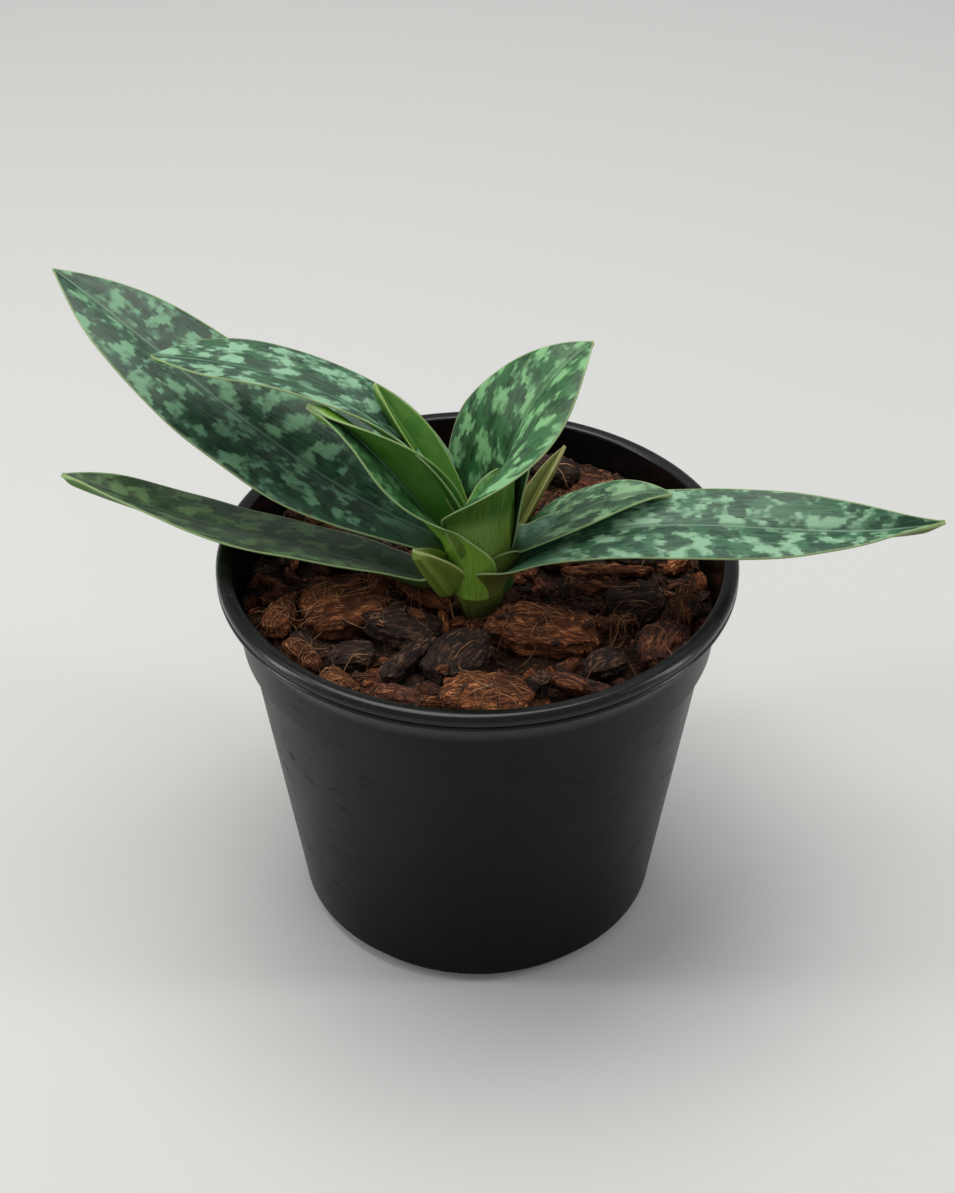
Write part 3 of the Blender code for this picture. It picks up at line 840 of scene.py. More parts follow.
class LeafFan:
    """All the leaves and bracts of the plant."""

    STATIONS = 84
    SHEATH_STATIONS = 18
    LANES = 28
    SECTION_STEPS = 10
    RIB_SOFTNESS = 0.07
    EDGE_THICKNESS = 0.32 * MM
    BODY_THICKNESS = 0.95 * MM
    KEEL = 0.9 * MM
    KEEL_WIDTH = 1.3 * MM
    SHARP_TIP = 0.15 * MM        # half width that a tip ends with
    SCAR = 8.6                   # height of the scar ring above the mix, in millimetres
    COLLAR_STEP = 0.6 * MM
    BOWED_FROM = 0.3             # share of the blade over which its halves start to arch
    SWELL_REACH = 0.6            # share of the blade that a swollen half takes up
    SMOOTHING = 8

    def __init__(self, blades: Sequence[Blade], mix_top: float) -> None:
        """Keep the leaves' sizes.

        Args:
            blades: the leaves.
            mix_top: height of the top of the mix in metres.
        """
        self.blades = blades
        self.mix_top = mix_top

    @staticmethod
    def width_share(blade: Blade, share: float) -> float:
        """Return a leaf's width at a place along it, as a share of its full width.

        Args:
            blade: the leaf.
            share: place along it.

        Returns:
            The share, 0 at the tip.
        """
        if share < blade.widest:
            swell = math.sin(math.pi / 2 * share / blade.widest) ** 1.3
            return blade.base_share + (1 - blade.base_share) * swell
        return max(1 - ((share - blade.widest) / (1 - blade.widest)) ** blade.taper, 0.0)

    def blade_stations(self, blade: Blade) -> list[Station]:
        """Lay out the cross-sections of the free part of a leaf.

        Args:
            blade: the leaf.

        Returns:
            The sections from the base to the tip.
        """
        step = blade.length * MM / self.STATIONS
        point = Vector(blade.base) * MM + Vector((0, 0, self.mix_top))
        before = None
        stations = []
        for index in range(self.STATIONS + 1):
            share = index / self.STATIONS
            turn = math.radians(blade.heading + blade.sweep * share)
            climb = math.radians(through(blade.rise, share))
            along = Vector((math.cos(turn) * math.cos(climb), math.sin(turn) * math.cos(climb),
                            math.sin(climb)))
            if before:
                point = point + (along + before).normalized() * step
            before = along
            flat = Vector((-math.sin(turn), math.cos(turn), 0))
            up = along.cross(flat)
            roll = math.radians(blade.roll[0] + (blade.roll[1] - blade.roll[0]) * share)
            half = max(blade.width * MM / 2 * self.width_share(blade, share), self.SHARP_TIP)
            swell = blade.back_swell * math.sin(math.pi * min(share / self.SWELL_REACH, 1.0))
            stations.append(Station(point.copy(), flat * math.cos(roll) + up * math.sin(roll),
                                    up * math.cos(roll) - flat * math.sin(roll),
                                    math.radians(through(blade.fold, share)), half,
                                    math.radians(blade.bow) * ease(0.0, self.BOWED_FROM, share),
                                    blade.length * share, swell))
        return stations

    def sheath_stations(self, blade: Blade, first: Station, ahead: Vector) -> list[Station]:
        """Lay out the clasping sheath from the stem up to the blade.

        Args:
            blade: the leaf.
            first: the blade's section that the sheath runs into.
            ahead: direction of the midrib there.

        Returns:
            The sheath's sections, without the last one.
        """
        foot = Vector(blade.foot) * MM + Vector((0, 0, self.mix_top))
        reach = (first.point - foot).length
        outward = math.radians(blade.heading)
        flat = Vector((-math.sin(outward), math.cos(outward), 0))
        wrap = math.radians(blade.wrap)
        stations = []
        for index in range(self.SHEATH_STATIONS):
            share = index / self.SHEATH_STATIONS
            square, cube = share * share, share ** 3
            point = (foot * (2 * cube - 3 * square + 1) + Vector((0, 0, reach)) * (cube - 2 * square + share)
                     + first.point * (3 * square - 2 * cube) + ahead * reach * (cube - square))
            slope = (foot * (6 * square - 6 * share) + Vector((0, 0, reach)) * (3 * square - 4 * share + 1)
                     + first.point * (6 * share - 6 * square) + ahead * reach * (3 * square - 2 * share))
            along = slope.normalized()
            side = flat.lerp(first.side, ease(0.0, 1.0, share))
            side = (side - along * side.dot(along)).normalized()
            lift = along.cross(side)
            opened = ease(0.0, 1.0, share ** blade.opening)
            slimmed = ease(0.0, 1.0, share ** blade.hugging)
            fold = wrap / 2 * (1 - opened) + first.fold * opened
            half = blade.clasp * MM * (1 - slimmed) + first.half * slimmed
            bow = -wrap * (1 - opened) + first.bow * opened
            stations.append(Station(point, side, lift, fold, half, bow,
                                    first.along - reach / MM * (1 - share)))
        return stations

    def collar(self, blade: Blade, sheath: list[Station]) -> list[Station]:
        """Carry a sheath straight down to the scar ring.

        Args:
            blade: the leaf.
            sheath: its sections from the foot up.

        Returns:
            The sections with the lower ones in front.
        """
        first = sheath[0]
        drop = (blade.foot[2] - self.SCAR) * MM
        count = max(1, round(drop / self.COLLAR_STEP))
        lower = [Station(first.point - Vector((0, 0, drop * (count - index) / count)), first.side, first.face,
                         first.fold, first.half, first.bow, first.along - drop / MM * (count - index) / count)
                 for index in range(count)]
        return (lower if drop > 0 else []) + sheath

    def section(self, station: Station, place: float) -> tuple[Vector, Vector]:
        """Find a point of the upper face and the direction out of it.

        Args:
            station: the cross-section.
            place: from -1 at one edge to 1 at the other.

        Returns:
            The point and its normal.
        """
        steps = self.SECTION_STEPS
        out, lift = 0.0, 0.0
        size = abs(place)
        for index in range(steps):
            middle = size * (index + 0.5) / steps
            angle = (station.fold + station.bow * (0.5 - middle)) * ease(0.0, self.RIB_SOFTNESS, middle)
            out += math.cos(angle) * size / steps
            lift += math.sin(angle) * size / steps
        sign = 1 if place > 0 else -1
        half = station.half * (1 + (station.swell if place < 0 else 0.0))
        angle = (station.fold + station.bow * (0.5 - size)) * ease(0.0, self.RIB_SOFTNESS, size)
        point = station.point + station.side * (sign * out * half) + station.face * (lift * half)
        normal = station.face * math.cos(angle) - station.side * (sign * math.sin(angle))
        return point, normal

    def smoothed(self, skin: list, join: int) -> list:
        """Even out the passage from sheath to blade.

        Args:
            skin: (point, normal) pairs, row by row.
            join: number of the row where they meet.

        Returns:
            The same rows, smoothed near the join.
        """
        first, last = 2, min(join * 2, len(skin) - 2)
        for _ in range(self.SMOOTHING):
            before = skin
            skin = [row if not first <= number <= last else
                    [((before[number - 1][lane][0] + row[lane][0] * 2 + before[number + 1][lane][0]) / 4,
                      (before[number - 1][lane][1] + row[lane][1] * 2
                       + before[number + 1][lane][1]).normalized())
                     for lane in range(len(row))]
                    for number, row in enumerate(before)]
        return skin

    def build_blade(self, blade: Blade, material: bpy.types.Material) -> bpy.types.Object:
        """Build one leaf with its thickness, keel, wavy edges and sheath.

        Args:
            blade: the leaf.
            material: its skin.

        Returns:
            The leaf object.
        """
        free = self.blade_stations(blade)
        stations = free
        if blade.foot:
            start = max(1, round(self.STATIONS * blade.join))
            ahead = (free[start + 1].point - free[start - 1].point).normalized()
            stations = self.collar(blade, self.sheath_stations(blade, free[start], ahead)) + free[start:]
        data = MeshData()
        top, below = [], []
        places = [math.copysign(abs(2 * lane / self.LANES - 1) ** 0.9, lane - self.LANES / 2)
                  for lane in range(self.LANES + 1)]
        skin = [[self.section(station, place) for place in places] for station in stations]
        if blade.foot:
            skin = self.smoothed(skin, len(stations) - len(free) + start)
        for row, station in enumerate(stations):
            upper, lower = [], []
            for lane, place in enumerate(places):
                point, normal = skin[row][lane]
                size = abs(place)
                wave = noise.noise(Vector((station.along * 0.06, place * 1.3, blade.skin.seed)))
                calm = min(1.0, station.half / (6 * MM))
                point = point + normal * (blade.ripple * MM * wave * size * 2.2 * calm)
                thick = (self.EDGE_THICKNESS + (self.BODY_THICKNESS - self.EDGE_THICKNESS) * (1 - size ** 3)
                         + self.KEEL * math.exp(-(size * station.half / self.KEEL_WIDTH) ** 2))
                thick *= min(1.0, 0.35 + station.half / (3 * MM))
                values = dict(across_mm=place * station.half / MM, along_mm=station.along,
                              edge_mm=(1 - size) * station.half / MM)
                upper.append(data.add(point + normal * (0.35 * self.EDGE_THICKNESS), underside=0.0, **values))
                lower.append(data.add(point - normal * thick, underside=1.0, **values))
            top.append(upper)
            below.append(lower)
        for first, second in zip(range(len(stations) - 1), range(1, len(stations))):
            upper, after, lower, follow = top[first], top[second], below[first], below[second]
            for lane in range(self.LANES):
                data.faces.append((upper[lane], upper[lane + 1], after[lane + 1], after[lane]))
                data.faces.append((lower[lane], follow[lane], follow[lane + 1], lower[lane + 1]))
            for lane in (0, self.LANES):
                data.faces.append((upper[lane], after[lane], follow[lane], lower[lane]))
        for upper, lower in ((top[0], below[0]), (top[-1], below[-1])):
            for lane in range(self.LANES):
                data.faces.append((upper[lane], lower[lane], lower[lane + 1], upper[lane + 1]))
        return data.build("mottled_" + blade.node, material)

    def build(self, groups: GroupMaker) -> None:
        """Build every leaf and set it in place of its CAD solid.

        Args:
            groups: the shared node groups.
        """
        for blade in self.blades:
            settle(self.build_blade(blade, blade.skin.build(groups)), blade.slot, blade.node)


# ------------------------------------------------------------------ stem and roots

@dataclass
class Stem:
    """Short stem below the sheaths, in millimetres."""

    middle: Vector
    mix_top: float
    rounds: int = 72
    rings: int = 60
    low: float = -13.6
    high: float = 12.5
    waist: float = 4.5
    crown: float = 6.5
    scar: float = 8.5
    depth: float = 0.86

    def radius(self, level: float) -> float:
        """Return the stem's half width at a height above the mix.

        Args:
            level: height in millimetres.

        Returns:
            The half width in millimetres.
        """
        grown = self.waist + (self.crown - self.waist) * ease(-1.0, self.scar - 1.0, level)
        foot = ease(self.low - 1.0, self.low + 7.0, level)
        core = 1 - 0.55 * ease(self.scar + 0.4, self.scar + 2.4, level)
        ridge = 0.3 * math.exp(-((level - self.scar + 0.5) / 0.45) ** 2)
        return (grown + ridge) * (0.3 + 0.7 * foot) * core

    def build(self, groups: GroupMaker) -> bpy.types.Object:
        """Build the stem with its scar ring and vertical creases.

        Args:
            groups: the shared node groups.

        Returns:
            The stem object.
        """
        data = MeshData()
        rows = []
        for ring in range(self.rings + 1):
            level = self.low + (self.high - self.low) * ring / self.rings
            row = []
            for index in range(self.rounds):
                angle = math.tau * index / self.rounds
                crease = 0.25 * noise.noise(Vector((math.cos(angle) * 3, math.sin(angle) * 3, level * 0.08)))
                reach = self.radius(level) * (1 + crease * 0.3)
                point = Vector((self.middle.x + reach * math.cos(angle) * MM,
                                self.middle.y + reach * math.sin(angle) * self.depth * MM,
                                self.mix_top + level * MM))
                row.append(data.add(point, level_mm=level, around_mm=angle * self.crown))
            rows.append(row)
        for row, above in zip(rows, rows[1:]):
            data.band(row, above)
        data.faces.append(tuple(reversed(rows[0])))
        data.faces.append(tuple(rows[-1]))
        return settle(data.build("ringed_stem", StemSkin().build(groups)), "stem_green", "stem")


# ------------------------------------------------------------------ pot

@dataclass
class NurseryPot:
    """Thin moulded pot, in metres; its outer sizes are read from the CAD node."""

    high: Vector                 # the CAD box's upper corner
    steps: int = 192
    wall: float = 0.9 * MM
    floor: float = 1.2 * MM
    lip_height: float = 4.6 * MM
    lip_overhang: float = 3.2 * MM
    collar_height: float = 17.5 * MM
    collar_draft: float = 2.2 * MM
    shoulder: float = 1.0 * MM
    shoulder_step: float = 1.8 * MM
    body_taper: float = 11 * MM
    foot_height: float = 3.5 * MM
    foot_setback: float = 2.8 * MM
    foot_thickness: float = 3.0 * MM
    foot_notch: float = 20 * MM
    notches: int = 4
    boss_radius: float = 9 * MM
    drain_radius: float = 3.6 * MM
    drain_rings: tuple[tuple[float, float], ...] = ((22 * MM, 0.5), (32 * MM, 0.0))
    sharp_above: float = 38.0    # edges that turn by more degrees than this stay crisp

    @property
    def height(self) -> float:
        """Return the pot's height."""
        return self.high.z

    @property
    def rim_radius(self) -> float:
        """Return the outside radius of the lip."""
        return self.high.x

    def arc(self, middle: tuple[float, float], radius: float, start: float, end: float,
            count: int) -> list[tuple[float, float]]:
        """Return points along a rounded corner of the profile.

        Args:
            middle: centre of the corner's circle.
            radius: radius of the circle.
            start: first angle in degrees.
            end: last angle in degrees.
            count: number of points.

        Returns:
            The (radius, height) points.
        """
        angles = [math.radians(start + (end - start) * index / (count - 1)) for index in range(count)]
        return [(middle[0] + radius * math.cos(angle), middle[1] + radius * math.sin(angle))
                for angle in angles]

    def profile(self) -> list[tuple[float, float]]:
        """Return the pot's section, from the inside of the floor over the lip and down to the base.

        Returns:
            The (radius, height) points.
        """
        collar_top = self.height - self.lip_height
        collar_foot = collar_top - self.collar_height
        body_top = collar_foot - self.shoulder
        floor_top = self.foot_height + self.floor
        collar_high = self.rim_radius - self.lip_overhang
        collar_low = collar_high - self.collar_draft
        body_high = collar_low - self.shoulder_step
        body_low = body_high - self.body_taper
        inside = [(0.0, floor_top), (body_low - self.wall - 1.5 * MM, floor_top),
                  (body_low - self.wall + 0.2 * MM, floor_top + 1.5 * MM),
                  (body_high - self.wall, body_top + self.wall),
                  (collar_low - self.wall, collar_foot + self.wall), (collar_high - self.wall, collar_top)]
        inner = inside[-1][0]
        rim, top = self.rim_radius, self.height
        lip = (self.arc((inner + 1.0 * MM, top - 1.0 * MM), 0.8 * MM, 180, 100, 5)
               + self.arc((rim - 1.7 * MM, top - 1.7 * MM), 1.7 * MM, 90, 0, 9)
               + [(rim - 0.05 * MM, top - 2.5 * MM), (rim - 0.55 * MM, top - 2.95 * MM)]
               + self.arc((rim - 0.75 * MM, top - 3.85 * MM), 0.75 * MM, 75, -80, 9))
        wall = ([(collar_high + 0.25 * MM, collar_top + 0.05 * MM), (collar_high, collar_top - 0.3 * MM),
                 (collar_low, collar_foot + 0.25 * MM), (collar_low - 0.25 * MM, collar_foot - 0.1 * MM)]
                + [(body_high + 0.35 * MM, body_top + 0.2 * MM), (body_high, body_top - 0.3 * MM)]
                + self.arc((body_low - 0.8 * MM, self.foot_height + 0.8 * MM), 0.8 * MM, 8, -90, 6))
        outer = body_low - self.foot_setback
        inner_foot = outer - self.foot_thickness
        foot = [(outer, self.foot_height), (outer - 0.1 * MM, 0.4 * MM), (outer - 0.5 * MM, 0.0),
                (inner_foot + 0.5 * MM, 0.0), (inner_foot + 0.1 * MM, 0.4 * MM),
                (inner_foot, self.foot_height),
                (self.boss_radius + 0.4 * MM, self.foot_height), (self.boss_radius, 0.0), (0.0, 0.0)]
        return inside + lip + wall + foot

    def build(self, groups: GroupMaker) -> bpy.types.Object:
        """Build the pot, cut its notches and drain holes, and dress it.

        Args:
            groups: the shared node groups.

        Returns:
            The pot object.
        """
        mesh = bpy.data.meshes.new("moulded_pot")
        shape = bmesh.new()
        points = [shape.verts.new((radius, 0, height)) for radius, height in self.profile()]
        for upper, lower in zip(points, points[1:]):
            shape.edges.new((upper, lower))
        bmesh.ops.spin(shape, geom=shape.verts[:] + shape.edges[:], cent=(0, 0, 0), axis=(0, 0, 1),
                       angle=math.tau, steps=self.steps, use_merge=True)
        bmesh.ops.remove_doubles(shape, verts=shape.verts, dist=0.00001)
        bmesh.ops.recalc_face_normals(shape, faces=shape.faces)
        shape.to_mesh(mesh)
        shape.free()
        pot = bpy.data.objects.new("moulded_pot", mesh)
        bpy.context.scene.collection.objects.link(pot)
        for cutter in self.cutters():
            boolean = pot.modifiers.new(cutter.name, 'BOOLEAN')
            boolean.operation = 'DIFFERENCE'
            boolean.object = cutter
            boolean.solver = 'MANIFOLD'
            with bpy.context.temp_override(object=pot, active_object=pot):
                bpy.ops.object.modifier_apply(modifier=boolean.name)
            bpy.data.objects.remove(cutter)
        pot.data.polygons.foreach_set("use_smooth", [True] * len(pot.data.polygons))
        pot.data.set_sharp_from_angle(angle=math.radians(self.sharp_above))
        pot.data.materials.clear()
        pot.data.materials.append(PotPlastic().build(groups))
        return settle(pot, "black_plastic", "nursery_pot")

    def cutters(self) -> list[bpy.types.Object]:
        """Make the shapes that cut the foot's notches and the drain holes.

        Returns:
            The cutting objects.
        """
        outer = (self.rim_radius - self.lip_overhang - self.collar_draft - self.shoulder_step
                 - self.body_taper - self.foot_setback)
        made = []
        for index in range(self.notches):
            angle = math.tau * (index + 0.5) / self.notches
            middle = outer - self.foot_thickness / 2
            made.append(self.block(middle, angle))
            for radius, turn in self.drain_rings:
                spot = math.tau * (index + turn) / self.notches
                made.append(self.drill(radius, spot))
        return made

    def block(self, radius: float, angle: float) -> bpy.types.Object:
        """Make one notch's block.

        Args:
            radius: distance from the axis.
            angle: direction from the axis.

        Returns:
            The block.
        """
        shape = bmesh.new()
        bmesh.ops.create_cube(shape, size=1)
        for vert in shape.verts:
            vert.co = Vector((vert.co.x * self.foot_thickness * 2, vert.co.y * self.foot_notch,
                              vert.co.z * self.foot_height * 1.998))
        return self.place_cutter(shape, radius, angle)

    def drill(self, radius: float, angle: float) -> bpy.types.Object:
        """Make one drain hole's cylinder.

        Args:
            radius: distance from the axis.
            angle: direction from the axis.

        Returns:
            The cylinder.
        """
        shape = bmesh.new()
        bmesh.ops.create_cone(shape, cap_ends=True, segments=32, radius1=self.drain_radius,
                              radius2=self.drain_radius, depth=self.foot_height * 6)
        return self.place_cutter(shape, radius, angle)

    @staticmethod
    def place_cutter(shape: bmesh.types.BMesh, radius: float, angle: float) -> bpy.types.Object:
        """Turn a shape into a cutting object in its place.

        Args:
            shape: the shape; it is freed.
            radius: distance from the axis.
            angle: direction from the axis.

        Returns:
            The cutting object.
        """
        mesh = bpy.data.meshes.new("pot_cut")
        shape.to_mesh(mesh)
        shape.free()
        cutter = bpy.data.objects.new("pot_cut", mesh)
        bpy.context.scene.collection.objects.link(cutter)
        cutter.location = (radius * math.cos(angle), radius * math.sin(angle), 0)
        cutter.rotation_euler = (0, 0, angle)
        bpy.context.view_layer.update()
        return cutter


# ------------------------------------------------------------------ bark, coir and mix

class Grain(Enum):
    """Kinds of potting material."""

    COIR = "coir"
    BARK = "dark_bark"
    RED_BARK = "red_bark"


PIECE_LOOKS: dict[Grain, PlantPiece] = {
    Grain.COIR: PlantPiece("coir_husk", (0.55, 0.24, 0.1), (0.25, 0.075, 0.022), (0.05, 0.014, 0.004),
                           fineness=2.2, stretch=0.1, relief=0.7 * MM, dusting=0.12, roughness=0.92),
    Grain.BARK: PlantPiece("weathered_bark", (0.2, 0.11, 0.06), (0.05, 0.022, 0.011), (0.009, 0.004, 0.002),
                           fineness=1.3, stretch=0.2, relief=0.6 * MM, dusting=0.15, roughness=0.8),
    Grain.RED_BARK: PlantPiece("fresh_bark", (0.42, 0.16, 0.07), (0.16, 0.048, 0.02), (0.03, 0.009, 0.004),
                               fineness=1.3, stretch=0.18, relief=0.6 * MM, dusting=0.12, roughness=0.82),
}
CRUMB_LOOK = PlantPiece("mix_crumb", (0.34, 0.15, 0.07), (0.075, 0.03, 0.013), (0.012, 0.005, 0.002),
                        fineness=1.6, stretch=0.4, relief=0.4 * MM, dusting=0.2, roughness=0.95)
THREAD_LOOK = PlantPiece("coir_thread", (0.62, 0.38, 0.2), (0.34, 0.16, 0.07), (0.1, 0.04, 0.016),
                         fineness=1.4, stretch=0.05, relief=0.1 * MM, dusting=0.0, roughness=0.8)
ROOT_LOOK = PlantPiece("orchid_root", (0.5, 0.4, 0.26), (0.3, 0.2, 0.1), (0.1, 0.055, 0.02),
                       fineness=1.8, stretch=0.12, relief=0.3 * MM, dusting=0.1, roughness=0.75)


ROOT_CELL = 0.5 * MM


class Chips:
    """Chunks of bark and coir, worked up from the CAD pieces."""

    FINE_CELL = 0.55 * MM

    def __init__(self, looks: dict[Grain, bpy.types.Material]) -> None:
        """Keep the finishes.

        Args:
            looks: one material for each kind of chip.
        """
        self.looks = looks

    @staticmethod
    def kind(name: str) -> Grain:
        """Tell what a chip is made of from its node's name."""
        if name.startswith(("coir", "husk", "stick_thin")):
            return Grain.COIR
        return Grain.RED_BARK if "red" in name or name in REDDISH else Grain.BARK

    @staticmethod
    def axes(points: np.ndarray) -> tuple[np.ndarray, np.ndarray]:
        """Find a chip's middle and its own directions, the longest first.

        Args:
            points: the chip's vertices.

        Returns:
            The middle and the three directions as rows.
        """
        middle = points.mean(axis=0)
        _, _, turned = np.linalg.svd(points - middle, full_matrices=False)
        return middle, turned

    def build(self, name: str, source: bpy.types.Object, seed: int) -> bpy.types.Object:
        """Make one rough chip from the CAD solid.

        Args:
            name: the CAD node's name.
            source: the CAD object.
            seed: number that sets its irregularities.

        Returns:
            The chip object.
        """
        kind = self.kind(name)
        obj = fine_copy("rough_" + name, source, self.FINE_CELL, self.looks[kind])
        fine = obj.data
        count = len(fine.vertices)
        raw = np.empty(count * 3)
        fine.vertices.foreach_get("co", raw)
        points = raw.reshape(-1, 3)
        normals = np.empty(count * 3)
        fine.vertices.foreach_get("normal", normals)
        normals = normals.reshape(-1, 3)
        middle, turned = self.axes(points)
        local = (points - middle) @ turned.T / MM
        moved = np.empty_like(points)
        hollows = np.empty(count)
        for index in range(count):
            height = self.relief(kind, local[index], seed)
            moved[index] = points[index] + normals[index] * height * MM
            # painted shade: the sunken spots of the chip's relief are darkened
            hollows[index] = min(max(-height * 1.6, 0.0), 1.0)
        fine.vertices.foreach_set("co", moved.ravel())
        carry(fine, grain_mm=(local + seed * 13.7).ravel(), hollow=hollows,
              tint=[0.75 + 0.5 * random.Random(seed).random()] * count)
        fine.polygons.foreach_set("use_smooth", [True] * len(fine.polygons))
        return settle(obj, kind.value, name)

    @staticmethod
    def relief(kind: Grain, place: np.ndarray, seed: int) -> float:
        """Return how far a chip's skin stands out at a place.

        Args:
            kind: what the chip is made of.
            place: position in millimetres along its own directions.
            seed: number that sets its irregularities.

        Returns:
            The height in millimetres.
        """
        x, y, z = place
        shift = seed * 5.3
        broad = noise.noise(Vector((x * 0.16 + shift, y * 0.16, z * 0.16)))
        if kind is Grain.COIR:
            strand = noise.noise(Vector((x * 0.14, y * 1.1 + shift, z * 1.1)))
            tuft = noise.noise(Vector((x * 0.4, y * 0.5, z * 0.5 + shift)))
            return 0.75 * broad + 0.55 * strand + 0.7 * tuft - 0.15
        plate = noise.noise(Vector((x * 0.1 + shift, y * 0.3, z * 1.3)))
        ledge = math.floor(plate * 4) / 4
        crack = max(0.0, 0.14 - abs(noise.noise(Vector((x * 0.16, y * 0.55 + shift, z * 0.3))))) * 5.0
        return 0.9 * broad + 0.7 * ledge - crack + 0.25 * noise.noise(Vector((x * 0.9, y * 0.9, z * 0.9)))


REDDISH = {"bark_back", "bark_block_back", "bark_long_back_right", "bark_flake_back_left", "bark_front_left"}


@dataclass
class MixBed:
    """Dark crumbly top of the mix and the bulk under it."""

    source: bpy.types.Object
    radius: float
    top: float
    cell: float = 0.7 * MM
    rounds: int = 260
    wall_rows: int = 12
    heap: float = 7.0            # how much higher the back lies, in millimetres
    heap_from: float = 12 * MM
    heap_full: float = 42 * MM

    def height(self, x: float, y: float) -> float:
        """Return the bed's height above a spot.

        Args:
            x: place across.
            y: place front to back.

        Returns:
            The height in metres.
        """
        crown = (1.5 * (1 - (x * x + y * y) / self.radius ** 2) - 1.2
                 + self.heap * ease(self.heap_from, self.heap_full, y))
        place = Vector((x, y, 0)) / MM
        lump = 2.2 * noise.noise(place * 0.075) + 1.6 * noise.noise(place * 0.21 + Vector((7, 3, 0)))
        grit = 1.0 * abs(noise.noise(place * 0.55)) + 0.5 * noise.noise(place * 1.4)
        return self.top + (crown + lump + grit - 1.2) * MM

    def build(self, look: bpy.types.Material) -> bpy.types.Object:
        """Build the bed as one closed body.

        Args:
            look: the mix material.

        Returns:
            The bed object.
        """
        rings = round(self.radius / self.cell)
        data = MeshData()
        rows = []
        for ring in range(rings + 1):
            radius = self.radius * ring / rings
            row = []
            for index in range(self.rounds if ring else 1):
                angle = math.tau * index / self.rounds
                x, y = radius * math.cos(angle), radius * math.sin(angle)
                height = self.height(x, y)
                # painted shade: spots below the mix's top are darkened, the deeper the darker
                row.append(data.add(Vector((x, y, height)), grain_mm=(x / MM, y / MM, height / MM), tint=1.0,
                                    hollow=min(max((self.top - height) / (2.5 * MM), 0.0), 1.0)))
            rows.append(row)
        for index in range(self.rounds):
            data.faces.append((rows[0][0], rows[1][index], rows[1][(index + 1) % self.rounds]))
        for row, outer in zip(rows[1:], rows[2:]):
            data.skirt(row, outer)
        low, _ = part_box("potting_mix")
        slope = (self.radius - self.low_radius()) / (self.top - low[2])
        last = rows[-1]
        for step in range(1, self.wall_rows + 1):
            level = self.top - 3 * MM - (self.top - 3 * MM - low[2]) * step / self.wall_rows
            radius = self.radius - slope * (self.top - level)
            row = []
            for index in range(self.rounds):
                angle = math.tau * index / self.rounds
                # painted shade: the bed's side below its top is made darker
                row.append(data.add(Vector((radius * math.cos(angle), radius * math.sin(angle), level)),
                                    tint=0.8, hollow=0.5, grain_mm=(radius * angle / MM, level / MM, 0.0)))
            data.skirt(last, row)
            last = row
        data.faces.append(tuple(last))
        return settle(data.build("crumbly_mix", look), "mix_brown", "potting_mix")

    def low_radius(self) -> float:
        """Return the radius of the CAD mix at its underside."""
        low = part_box("potting_mix")[0][2]
        points = [self.source.matrix_world @ vert.co for vert in self.source.data.vertices]
        return max(point.xy.length for point in points if point.z < low + 0.5 * MM)


